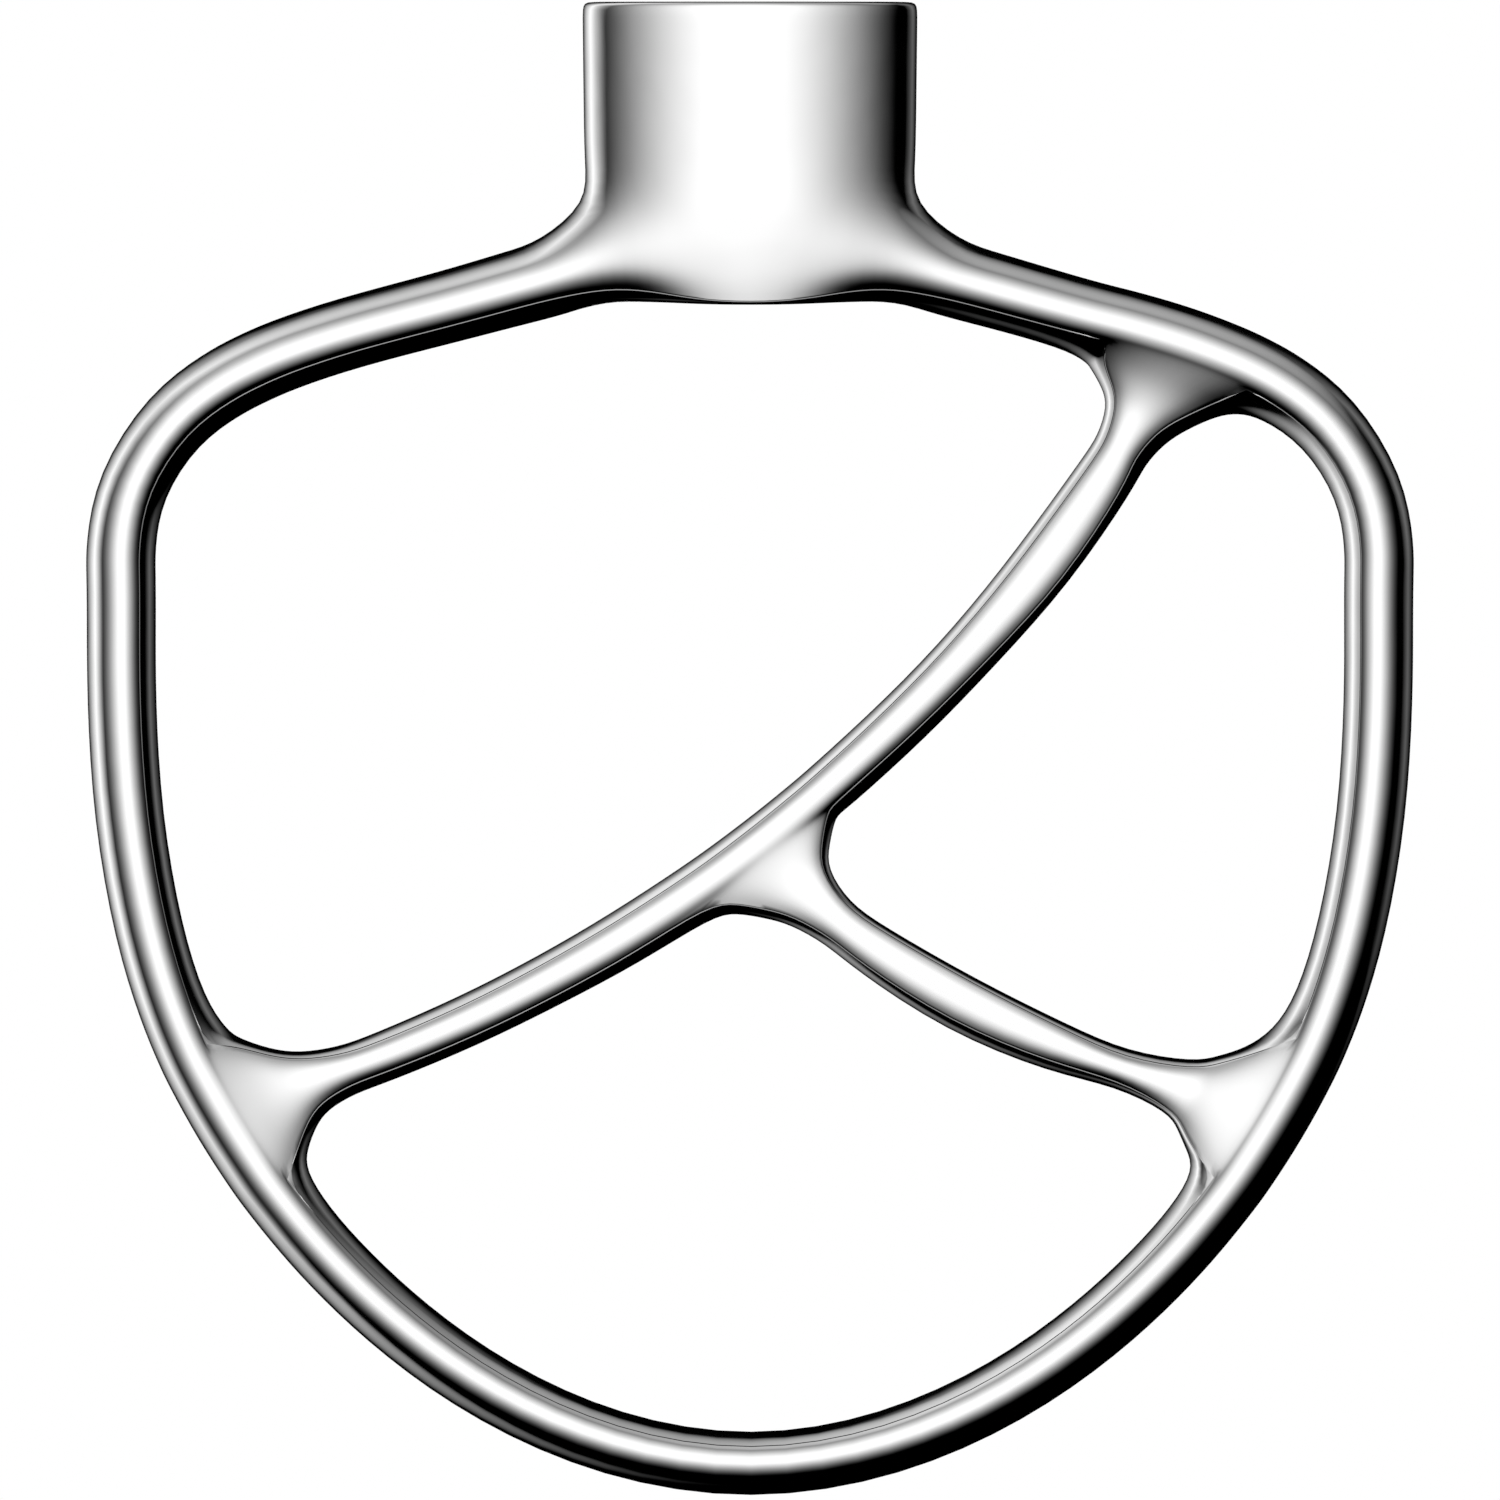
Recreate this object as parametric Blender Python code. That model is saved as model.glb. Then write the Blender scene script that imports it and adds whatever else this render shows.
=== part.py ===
"""Flat beater of a tilt-head stand mixer, cast in one piece of stainless steel.

The casting stands upright in the XZ plane, +X across, -Y towards the front, +Z up.
Its origin is the centre of the drive socket's mouth, on the hub's top face.
Front and back are alike, so the front half is laid out as a cage of quads, its twin
is mirrored across the parting plane Y = 0, and one subdivision rounds the whole.
"""
import math

import bmesh
import bpy
import numpy as np
from mathutils import Vector

# Overall sizes, in metres
OVERALL_WIDTH = 0.128
OVERALL_HEIGHT = 0.1441

# The loop: an oval bar that runs round the bowl's outline
LOOP_WIDTH = 0.0067
LOOP_DEPTH = 0.0185

# The two ribs inside the loop
DIAGONAL_DEPTH = 0.0098
BRANCH_DEPTH = 0.0092
RIB_HALF_WIDTH = 0.0016
RIB_WALL = 0.001

# The fine ledge that parts each bar's face from the wall of a window
LEDGE_WIDTH = 0.0003
LEDGE_DROP = 0.00012
HUB_LEDGE_WIDTH = 0.0020

# How far each rounded window corner reaches along the two bars that meet in it
CROWN_FILLET_ALONG_ARM = 0.0040
CROWN_FILLET_ALONG_RIB = 0.0043
SHOULDER_FILLET = 0.0037
LIMB_FILLET = 0.0041
FOOT_FILLET = 0.0020

# The hub and the drive socket in it
HUB_DIAMETER = 0.0323
HUB_NECK_DIAMETER = 0.0317
HUB_HEIGHT = 0.0293
HUB_RIM_ROUND = 0.00135
ARM_START_GAP = 0.0032
SHAFT_DIAMETER = 0.0127
SHAFT_CLEARANCE = 0.0003
PIN_DIAMETER = 0.0048
PIN_CLEARANCE = 0.0006
PIN_REACH = 0.0096
SOCKET_ROOF = 0.0080
SOCKET_CAVITY_DIAMETER = 0.0235
SOCKET_CHAMFER = 0.0006
PIN_SEAT_DEPTH = 0.0026
CUT_OVERRUN = 0.001

# Places on the casting are shares of the half span and of the drop of the loop's
# centre line, measured from the origin across and down
KEEL_WIDTH_share = 0.925
HALF_SPAN = (OVERALL_WIDTH - LOOP_WIDTH) / 2
DROP = OVERALL_HEIGHT - KEEL_WIDTH_share * LOOP_WIDTH / 2

# Right half of the loop's centre line, hub to keel: across, down, bar width, bar depth
LOOP_ROUTE_shares = (
    (0.000, 0.1670, 1.600, 1.200),
    (0.238, 0.1794, 1.250, 1.150),
    (0.318, 0.1897, 1.110, 1.095),
    (0.397, 0.1988, 1.085, 1.036),
    (0.472, 0.2080, 1.050, 1.000),
    (0.679, 0.2323, 1.043, 1.000),
    (0.819, 0.2578, 1.036, 1.000),
    (0.9295, 0.2946, 1.022, 1.000),
    (0.9883, 0.3427, 1.012, 1.000),
    (0.9992, 0.4052, 1.000, 1.000),
    (0.9963, 0.5028, 0.993, 1.000),
    (0.962, 0.6222, 0.988, 1.000),
    (0.901, 0.7068, 0.980, 1.000),
    (0.757, 0.8138, 0.970, 1.000),
    (0.609, 0.8849, 0.963, 1.000),
    (0.368, 0.9588, 0.950, 1.000),
    (0.000, 1.0000, KEEL_WIDTH_share, 1.000),
)

# Ends of the three webs as shares of the loop's whole length, clockwise from the hub
CROWN_WEB_shares = (0.0931, 0.1314)
RIGHT_WEB_shares = (0.3145, 0.3572)
LEFT_WEB_shares = (0.6422, 0.6840)
RIGHT_SHOULDER_share = 0.195
LEFT_SHOULDER_shares = (0.805, 0.870)

# Sections of the loop crowd this much towards the two ends of each stretch
CROWDING_share = 0.5

# Edge lines of the ribs, as pairs of points across the rib, each with the widths of the
# walls outside them: the diagonal's upper and lower side from the crown web to the left
# web, then the branch's from the diagonal to the right web
DIAGONAL_EDGE_shares = (
    ((0.5630, 0.2458), (0.7360, 0.2746), (1.00, 1.15)),
    ((0.5809, 0.2780), (0.6452, 0.2957), (1.00, 1.42)),
    ((0.5351, 0.3209), (0.5864, 0.3352), (1.08, 1.00)),
    ((0.3347, 0.4325), (0.3793, 0.4484), (0.98, 0.98)),
    ((0.1144, 0.5262), (0.1462, 0.5433), (1.00, 1.28)),
    ((0.0207, 0.5601), (0.0400, 0.5799), (1.02, 1.30)),
    ((-0.1017, 0.5994), (-0.0747, 0.6192), (1.10, 1.30)),
    ((-0.3301, 0.6596), (-0.3080, 0.6792), (1.05, 1.02)),
    ((-0.5880, 0.7119), (-0.5689, 0.7303), (1.02, 1.05)),
    ((-0.7151, 0.7242), (-0.6802, 0.7532), (0.80, 1.05)),
    ((-0.8168, 0.7161), (-0.7190, 0.7833), (0.80, 1.00)),
)
BRANCH_EDGE_shares = (
    ((0.1224, 0.5556), (-0.0207, 0.6172), (1.00, 1.00)),
    ((0.1160, 0.5953), (0.0715, 0.6267), (0.76, 0.92)),
    ((0.2160, 0.6381), (0.1850, 0.6591), (0.63, 0.92)),
    ((0.4968, 0.7033), (0.4761, 0.7241), (0.70, 1.05)),
    ((0.6993, 0.7297), (0.6627, 0.7567), (0.84, 0.56)),
    ((0.7946, 0.7214), (0.7056, 0.7840), (0.82, 0.70)),
)
JUNCTION_ROW = 4

# Rise of a web above its rib in the rows nearest to the loop, first of its crest and
# then of its edge lines, and how far the loop's face is filled up where the web leaves it
CROWN_RISE_shares = ((0.45, 0.32), (0.16, 0.10), (0.02, 0.02))
LIMB_RISE_shares = ((0.68, 0.50), (0.42, 0.30), (0.18, 0.12), (0.03, 0.02))
CROWN_FILL_share = 0.30
LIMB_FILL_share = 0.42

# Rise of the ribs' junction, and of a rib's face between its edge line and its crest.
# The flank keeps this near to the edge line on a rib of usual width
JUNCTION_RISE_shares = (0.0, 0.85, 0.97, 0.85, 0.0)
RIB_EDGE_share = 0.82
FLANK_REACH_share = 0.35
FLANK_RISE_share = 0.77
CREST_RISE_share = 1.11

# Angles round the loop's oval section, from the outer parting line to the crest, and
# of the edge line on the window side
OUTER_ANGLES = tuple(math.radians(degrees) for degrees in (180, 150, 120, 90))
EDGE_ANGLE = math.radians(60)
SHARP_ANGLE = math.radians(35)

# How finely lines are measured and the socket's round cuts are drawn
MEASURED_STEPS = 4000
SOCKET_SIDES = 48
SLOT_TURNS = 12

# A subdivided cage shrinks inside its points, so rounded rows are drawn this much out
OVAL_SWELL_share = 1.047
HUB_SWELL_share = 1.026
SILL_SWELL_share = 0.5
BEND_SWELL_share = 1 / 6

# Front of the hub below the arms' tops, left column to the middle: across and
# forward as shares of the hub's radius, down as a share of its height
HUB_COLUMNS = 8
HUB_LOWER_shares = (
    ((0.885, 0.575, 0.680), (0.640, 0.795, 0.680), (0.345, 0.955, 0.680), (0, 1.020, 0.680)),
    ((0.885, 0.700, 0.782), (0.625, 0.835, 0.782), (0.335, 0.962, 0.782), (0, 1.020, 0.782)),
    ((0.880, 0.710, 0.875), (0.615, 0.830, 0.880), (0.330, 0.955, 0.895), (0, 1.015, 0.905)),
    ((0.860, 0.590, 0.940), (0.600, 0.715, 0.948), (0.325, 0.900, 0.978), (0, 0.985, 0.988)),
)
HUB_SIDE_shares = (1.008, 0.664)
HUB_SILL_shares = (0.985, 0.990, 1.0, 1.0)
HUB_BAND_shares = (0.30, 0.53)


class Line:
    """Smooth line through rows of values whose first two columns are a place."""

    def __init__(self, rows):
        self.rows = np.array(rows, dtype=float)
        steps = np.linalg.norm(np.diff(self.rows[:, :2], axis=0), axis=1)
        self.knots = np.concatenate(([0.0], np.cumsum(steps)))
        self.bends = self.solve_bends(steps)
        self.fine = np.linspace(0.0, self.knots[-1], MEASURED_STEPS + 1)
        places = np.array([self.read(knot)[:2] for knot in self.fine])
        travelled = np.linalg.norm(np.diff(places, axis=0), axis=1)
        self.travelled = np.concatenate(([0.0], np.cumsum(travelled)))

    def solve_bends(self, steps):
        """Second derivatives of a natural cubic spline at its knots."""
        count = len(self.rows)
        matrix = np.eye(count)
        right = np.zeros_like(self.rows)
        for i in range(1, count - 1):
            matrix[i, i - 1:i + 2] = steps[i - 1], 2 * (steps[i - 1] + steps[i]), steps[i]
            after = (self.rows[i + 1] - self.rows[i]) / steps[i]
            before = (self.rows[i] - self.rows[i - 1]) / steps[i - 1]
            right[i] = 6 * (after - before)
        return np.linalg.solve(matrix, right)

    def read(self, knot):
        """Row of the line at a value of its knots."""
        i = min(max(int(np.searchsorted(self.knots, knot)) - 1, 0), len(self.rows) - 2)
        step = self.knots[i + 1] - self.knots[i]
        b = (knot - self.knots[i]) / step
        a = 1 - b
        sag = ((a ** 3 - a) * self.bends[i] + (b ** 3 - b) * self.bends[i + 1]) * step ** 2 / 6
        return a * self.rows[i] + b * self.rows[i + 1] + sag

    def knot_at(self, share):
        """Value of the knots at a share of the line's length."""
        return float(np.interp(share * self.travelled[-1], self.travelled, self.fine))

    def heading(self, knot):
        """Unit direction of the line at a value of its knots."""
        reach = self.knots[-1] / len(self.fine)
        ahead = self.read(min(knot + reach, self.knots[-1]))
        behind = self.read(max(knot - reach, 0.0))
        return Vector(ahead[:2] - behind[:2]).normalized()

    def halved(self):
        """All rows of the line, with one more row in the middle of each step."""
        middles = [self.read((a + b) / 2) for a, b in zip(self.knots, self.knots[1:])]
        rows = [self.rows[0]]
        for middle, row in zip(middles, self.rows[1:]):
            rows += [middle, row]
        return rows


class Cage:
    """Points and quads of the front half, which the mirrored half repeats."""

    def __init__(self):
        self.points = []
        self.quads = []
        self.sharp_edges = []
        self.sharp_points = []

    def add(self, place, height):
        """Add a point at a place in the XZ plane, height in front of that plane."""
        self.points.append(Vector((place[0], -height, place[1])))
        return len(self.points) - 1

    def place(self, point):
        """Place of a point in the XZ plane."""
        return Vector((self.points[point].x, self.points[point].z))

    def height(self, point):
        """Height of a point in front of the parting plane."""
        return -self.points[point].y

    def sheet(self, lines):
        """Fill the strips between lines of points with quads."""
        for line, after in zip(lines, lines[1:]):
            for i in range(len(line) - 1):
                self.quads.append((line[i], line[i + 1], after[i + 1], after[i]))

    def sharpen(self, line):
        """Keep the edges along a line of points crisp."""
        self.sharp_edges += list(zip(line, line[1:]))


class Brink:
    """One stop on the rim of a window: its edge point and what follows below it."""

    def __init__(self, point, wall, normal=None, corner=False):
        self.point = point
        self.wall = wall
        self.normal = normal
        self.corner = corner
        self.ledge = None
        self.sill = None
        self.ledge_height = None


def plane_place(share):
    """Place in the XZ plane from shares of the half span and of the drop."""
    return Vector((share[0] * HALF_SPAN, -share[1] * DROP))


def drawn_out(places):
    """Places moved out so that the rounded line through them passes where they were."""
    moved = [place.copy() for place in places]
    for i in range(1, len(places) - 1):
        moved[i] += (2 * places[i] - places[i - 1] - places[i + 1]) * BEND_SWELL_share
    return moved


def right_of(direction):
    """Normal on the right hand of a direction, which looks into a window."""
    return Vector((direction.y, -direction.x))


def loop_line():
    """Centre line of the loop, clockwise from the hub and back to it."""
    half = []
    for across, down, width, depth in LOOP_ROUTE_shares:
        place = plane_place((across, down))
        half.append((place.x, place.y, width * LOOP_WIDTH, depth * LOOP_DEPTH))
    other = [(-x, z, width, depth) for x, z, width, depth in reversed(half[:-1])]
    return Line(half + other)


def loop_stops(line):
    """Shares of the loop's length at which its section is drawn, and the web ends."""
    across = [abs(line.read(knot)[0]) for knot in line.fine]
    clear = HUB_DIAMETER / 2 + ARM_START_GAP
    first = next(i for i, x in enumerate(across) if x > clear)
    start = line.travelled[first] / line.travelled[-1]
    stretches = (
        (CROWN_WEB_shares[0], 3), (CROWN_WEB_shares[1], 4), (RIGHT_SHOULDER_share, 5),
        (RIGHT_WEB_shares[0], 6), (RIGHT_WEB_shares[1], 4), (LEFT_WEB_shares[0], 12),
        (LEFT_WEB_shares[1], 4), (LEFT_SHOULDER_shares[0], 6), (LEFT_SHOULDER_shares[1], 5),
        (1 - start, 5),
    )
    stops = [start]
    ends = []
    for end, spans in stretches:
        begin = stops[-1]
        for i in range(1, spans + 1):
            turn = 2 * math.pi * i / spans
            stops.append(begin + (end - begin) * (turn - CROWDING_share * math.sin(turn)) / (2 * math.pi))
        ends.append(len(stops) - 1)
    return stops, ends


def add_loop(cage, line, stops):
    """Front half of the loop's section at each stop, and its rim on the window side."""
    stations = []
    brinks = []
    knots = [line.knot_at(share) for share in stops]
    centres = drawn_out([Vector(line.read(knot)[:2]) for knot in knots])
    for knot, centre in zip(knots, centres):
        width, depth = line.read(knot)[2:]
        inward = right_of(line.heading(knot))
        station = []
        for angle in OUTER_ANGLES:
            offset = OVAL_SWELL_share * width / 2 * math.cos(angle)
            height = OVAL_SWELL_share * depth / 2 * math.sin(angle)
            if angle == OUTER_ANGLES[0]:
                height = 0.0
            station.append(cage.add(centre + inward * offset, height))
        edge = centre + inward * (width / 2 * math.cos(EDGE_ANGLE))
        station.append(cage.add(edge, depth / 2 * math.sin(EDGE_ANGLE)))
        stations.append(station)
        wall = width / 2 * (1 - math.cos(EDGE_ANGLE))
        brinks.append(Brink(station[-1], wall, inward))
    cage.sheet(stations)
    return stations, brinks


def add_hub(cage, left_arm, right_arm):
    """Front of the hub above and between the arms, and its rim on the window side."""
    radius = HUB_DIAMETER / 2
    neck = HUB_NECK_DIAMETER / 2
    rims = ((radius - HUB_RIM_ROUND, 0.0), (radius, 0.0), (radius, HUB_RIM_ROUND))
    bands = [(radius + (neck - radius) * share, share * HUB_HEIGHT) for share in HUB_BAND_shares]
    rows = []
    for reach, down in (*rims, *bands):
        row = []
        for column in range(HUB_COLUMNS + 1):
            angle = math.pi * (column / HUB_COLUMNS - 0.5)
            height = HUB_SWELL_share * reach * math.cos(angle)
            if column in (0, HUB_COLUMNS):
                height = 0.0
            row.append(cage.add((HUB_SWELL_share * reach * math.sin(angle), -down), height))
        rows.append(row)

    lower = []
    for row_shares in HUB_LOWER_shares:
        mirrored = [(-across, forward, down) for across, forward, down in row_shares]
        whole = mirrored + list(reversed(row_shares[:-1]))
        lower.append([cage.add((across * radius, -down * HUB_HEIGHT), forward * radius)
                      for across, forward, down in whole])
    side, level = HUB_SIDE_shares
    sides = [cage.add((sign * side * radius, -level * HUB_HEIGHT), 0.0) for sign in (-1, 1)]
    rows.append([sides[0], *lower[0], sides[1]])
    cage.sheet(rows)

    columns = [list(column) for column in zip(*lower)]
    cage.sheet([left_arm[1:], *columns, right_arm[1:]])
    for side_point, arm, column in zip(sides, (left_arm, right_arm), (columns[0], columns[-1])):
        cage.quads.append((arm[0], arm[1], column[0], side_point))

    brinks = []
    sills = list(HUB_SILL_shares) + list(reversed(HUB_SILL_shares[:-1]))
    for column, level in zip(columns, sills):
        brink = Brink(column[-1], None)
        edge = cage.place(column[-1])
        brink.sill = Vector((edge.x, -level * HUB_HEIGHT))
        brink.ledge = brink.sill
        brink.ledge_height = cage.height(column[-1]) - HUB_LEDGE_WIDTH
        brinks.append(brink)
    return rows[0], brinks


def rib_rows(edge_shares):
    """Pairs of edge places across a rib and their walls, with a row between each two."""
    flat = [(*plane_place(first), *plane_place(second), *walls) for first, second, walls in edge_shares]
    return [(Vector(row[:2]), Vector(row[2:4]), row[4:] * RIB_WALL) for row in Line(flat).halved()]


def add_rib(cage, rows, depth, root, end, root_rises, junction_rises=None):
    """Face of a rib between its edge lines, from a root row of points to an end row."""
    crest = depth / 2
    edge = crest * RIB_EDGE_share
    web = cage.height(end[0])
    stations = []
    sides = []
    for side in (0, 1):
        ends = [cage.place(row[-side]) for row in (root, end)]
        sides.append(drawn_out([ends[0], *(row[side] for row in rows), ends[1]])[1:-1])
    flat = ((0.0, 0.0),) * (len(rows) - len(root_rises) - len(LIMB_RISE_shares))
    rises = (*root_rises, *flat, *reversed(LIMB_RISE_shares))
    for i, (first, second, (top_rise, edge_rise)) in enumerate(zip(*sides, rises)):
        top = crest + top_rise * (web - crest)
        low = edge + edge_rise * (web - edge)
        far = low
        if junction_rises and i in junction_rises:
            far = edge + junction_rises[i] * (crest - edge)
        middle = (first + second) / 2
        flank = 1 - FLANK_REACH_share * math.sqrt(RIB_HALF_WIDTH / (second - middle).length)
        heights = (low, low + FLANK_RISE_share * (top - low), low + CREST_RISE_share * (top - low),
                   far + FLANK_RISE_share * (top - far), far)
        places = (first, middle.lerp(first, flank), middle, middle.lerp(second, flank), second)
        stations.append([cage.add(place, height) for place, height in zip(places, heights)])
    cage.sheet([root, *stations, end])
    return stations


def fill_web(cage, stations, share):
    """Raise the loop's face towards its crest where a web leaves it, most in its middle."""
    for i, station in enumerate(stations):
        fill = share * math.sin(math.pi * (i + 1) / (len(stations) + 1))
        crest = cage.height(station[-2])
        cage.points[station[-1]].y -= fill * (crest - cage.height(station[-1]))


def settle_ring(cage, brinks, fillets):
    """Ledge and sill places round a window, with its corners rounded."""
    count = len(brinks)
    places = [cage.place(brink.point) for brink in brinks]
    for i, brink in enumerate(brinks):
        if brink.wall is None:
            continue
        before = (places[i] - places[i - 1]).normalized()
        after = (places[(i + 1) % count] - places[i]).normalized()
        if brink.corner:
            came_by_loop = brinks[i - 1].normal is not None
            rib_normal = right_of(after if came_by_loop else before)
            rib_wall = brinks[(i + 1) % count].wall if came_by_loop else brinks[i - 1].wall
            axes = np.array([brink.normal, rib_normal])
            ledge = np.linalg.solve(axes, np.array([LEDGE_WIDTH, LEDGE_WIDTH]))
            sill = np.linalg.solve(axes, np.array([brink.wall, rib_wall]))
            brink.ledge = places[i] + Vector(ledge)
            brink.sill = places[i] + Vector(sill)
        else:
            normal = brink.normal or right_of((before + after).normalized())
            brink.ledge = places[i] + normal * LEDGE_WIDTH
            brink.sill = places[i] + normal * brink.wall
        brink.ledge_height = cage.height(brink.point) - LEDGE_DROP
    round_corners(brinks, fillets)


def round_corners(brinks, fillets):
    """Draw the sills near each corner onto a curve between its two reaches."""
    count = len(brinks)
    sills = [brink.sill.copy() for brink in brinks]
    corners = [i for i, brink in enumerate(brinks) if brink.corner]
    for corner, reaches in zip(corners, fillets):
        peak = sills[corner]
        ends = []
        near = []
        for step, reach in zip((-1, 1), reaches):
            travelled = 0.0
            i = corner
            stops = []
            while travelled < reach:
                here = sills[i]
                ahead = sills[(i + step) % count]
                length = (ahead - here).length
                if travelled + length >= reach:
                    ends.append(here.lerp(ahead, (reach - travelled) / length))
                travelled += length
                i = (i + step) % count
                if travelled < reach:
                    stops.append((i, travelled / reach))
            near.append(stops)
        start, finish = ends
        turns = [(corner, 0.5)]
        turns += [(i, 0.5 - share / 2) for i, share in near[0]]
        turns += [(i, 0.5 + share / 2) for i, share in near[1]]
        for i, turn in turns:
            brinks[i].sill = start.lerp(peak, turn).lerp(peak.lerp(finish, turn), turn)


def add_walls(cage, brinks):
    """Ledge and half wall of a window, from its edge line to the parting plane."""
    lines = []
    for brink in brinks:
        ledge = cage.add(brink.ledge, brink.ledge_height)
        drawn = brink.sill + (brink.sill - brink.ledge) * SILL_SWELL_share
        lines.append([brink.point, ledge, cage.add(drawn, 0.0)])
        if brink.corner:
            cage.sharp_points += [brink.point, ledge]
    lines.append(lines[0])
    cage.sheet(lines)
    edge_line, ledge_line, _ = zip(*lines)
    cage.sharpen(edge_line)
    cage.sharpen(ledge_line)


def lay_out_casting():
    """Cage of the whole front half."""
    cage = Cage()
    line = loop_line()
    stops, ends = loop_stops(line)
    stations, rim = add_loop(cage, line, stops)
    edges = [station[-1] for station in stations]
    crown_a, crown_b, _, right_b, right_c, left_c, left_a = ends[:7]
    for corner in (crown_a, crown_b, right_b, right_c, left_c, left_a):
        rim[corner].corner = True
    cap_row, hub_rim = add_hub(cage, stations[-1], stations[0])
    fill_web(cage, stations[crown_a + 1:crown_b], CROWN_FILL_share)
    fill_web(cage, stations[right_b + 1:right_c], LIMB_FILL_share)
    fill_web(cage, stations[left_c + 1:left_a], LIMB_FILL_share)

    first = 2 * JUNCTION_ROW
    junction_rises = {first + i: share for i, share in enumerate(JUNCTION_RISE_shares)}
    crown_root = edges[crown_a:crown_b + 1]
    left_root = edges[left_c:left_a + 1][::-1]
    right_root = edges[right_b:right_c + 1]
    diagonal_rows = rib_rows(DIAGONAL_EDGE_shares)
    branch_rows = rib_rows(BRANCH_EDGE_shares)
    diagonal = add_rib(cage, diagonal_rows, DIAGONAL_DEPTH, crown_root, left_root,
                       CROWN_RISE_shares, junction_rises)
    junction = diagonal[first:first + len(JUNCTION_RISE_shares)]
    branch_root = [station[-1] for station in junction]
    branch = add_rib(cage, branch_rows, BRANCH_DEPTH, branch_root, right_root, ())

    upper, lower = [[Brink(station[side], row[2][side]) for station, row in zip(diagonal, diagonal_rows)]
                    for side in (0, -1)]
    beside, under = [[Brink(station[side], row[2][side]) for station, row in zip(branch, branch_rows)]
                     for side in (0, -1)]
    crown_fillet = (CROWN_FILLET_ALONG_ARM, CROWN_FILLET_ALONG_RIB)
    rings = (
        (hub_rim + rim[:crown_a + 1] + upper + rim[left_a:],
         (crown_fillet, (LIMB_FILLET, LIMB_FILLET))),
        (rim[crown_b:right_b + 1] + beside[::-1] + lower[first::-1],
         ((SHOULDER_FILLET, SHOULDER_FILLET), (LIMB_FILLET, LIMB_FILLET))),
        (rim[right_c:left_c + 1] + lower[:first + len(junction) - 2:-1] + under,
         ((FOOT_FILLET, FOOT_FILLET), (FOOT_FILLET, FOOT_FILLET))),
    )
    for brinks, fillets in rings:
        settle_ring(cage, brinks, fillets)
        add_walls(cage, brinks)
    return cage, cap_row


def mesh_of(cage, cap_row, name):
    """Closed mesh of the cage, its mirrored half and the hub's flat top."""
    bm = bmesh.new()
    crease = bm.edges.layers.float.new("crease_edge")
    point_crease = bm.verts.layers.float.new("crease_vert")
    front = [bm.verts.new(point) for point in cage.points]
    back = [vert if point.y == 0.0 else bm.verts.new((point.x, -point.y, point.z))
            for vert, point in zip(front, cage.points)]
    for quad in cage.quads:
        bm.faces.new([front[i] for i in quad])
        bm.faces.new([back[i] for i in reversed(quad)])
    bm.faces.new([front[i] for i in cap_row] + [back[i] for i in reversed(cap_row[1:-1])])
    for side in (front, back):
        for a, b in cage.sharp_edges:
            bm.edges.get((side[a], side[b]))[crease] = 1.0
        for i in cage.sharp_points:
            side[i][point_crease] = 1.0
    bmesh.ops.recalc_face_normals(bm, faces=bm.faces)
    mesh = bpy.data.meshes.new(name)
    bm.to_mesh(mesh)
    bm.free()
    return mesh


def steel():
    """Cast stainless steel, polished bright."""
    material = bpy.data.materials.new("polished_cast_stainless_steel")
    material.use_nodes = True
    shader = material.node_tree.nodes["Principled BSDF"]
    shader.inputs["Base Color"].default_value = (0.78, 0.78, 0.77, 1.0)
    shader.inputs["Metallic"].default_value = 1.0
    shader.inputs["Roughness"].default_value = 0.12
    return material


def add_object(name, mesh):
    """Link a mesh to the scene as an object."""
    thing = bpy.data.objects.new(name, mesh)
    bpy.context.collection.objects.link(thing)
    return thing


def cut(body, tool):
    """Cut a tool out of the body."""
    modifier = body.modifiers.new(tool.name, "BOOLEAN")
    modifier.operation = "DIFFERENCE"
    modifier.object = tool


def settle(body):
    """Make the modifiers' result the body's own mesh, smooth but for its real edges."""
    evaluated = body.evaluated_get(bpy.context.evaluated_depsgraph_get())
    mesh = bpy.data.meshes.new_from_object(evaluated)
    body.modifiers.clear()
    body.data = mesh
    mesh.shade_smooth()
    mesh.set_sharp_from_angle(angle=SHARP_ANGLE)


def turned_tool(name, profile, sides):
    """Solid turned about the Z axis from a profile of radius and height, top to bottom."""
    bm = bmesh.new()
    rings = []
    for radius, height in profile:
        ring = []
        for i in range(sides):
            angle = 2 * math.pi * i / sides
            ring.append(bm.verts.new((radius * math.cos(angle), radius * math.sin(angle), height)))
        rings.append(ring)
    bm.faces.new(rings[0])
    bm.faces.new(reversed(rings[-1]))
    for upper, lower in zip(rings, rings[1:]):
        for i in range(sides):
            j = (i + 1) % sides
            bm.faces.new((upper[i], lower[i], lower[j], upper[j]))
    bmesh.ops.recalc_face_normals(bm, faces=bm.faces)
    mesh = bpy.data.meshes.new(name)
    bm.to_mesh(mesh)
    bm.free()
    return add_object(name, mesh)


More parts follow.
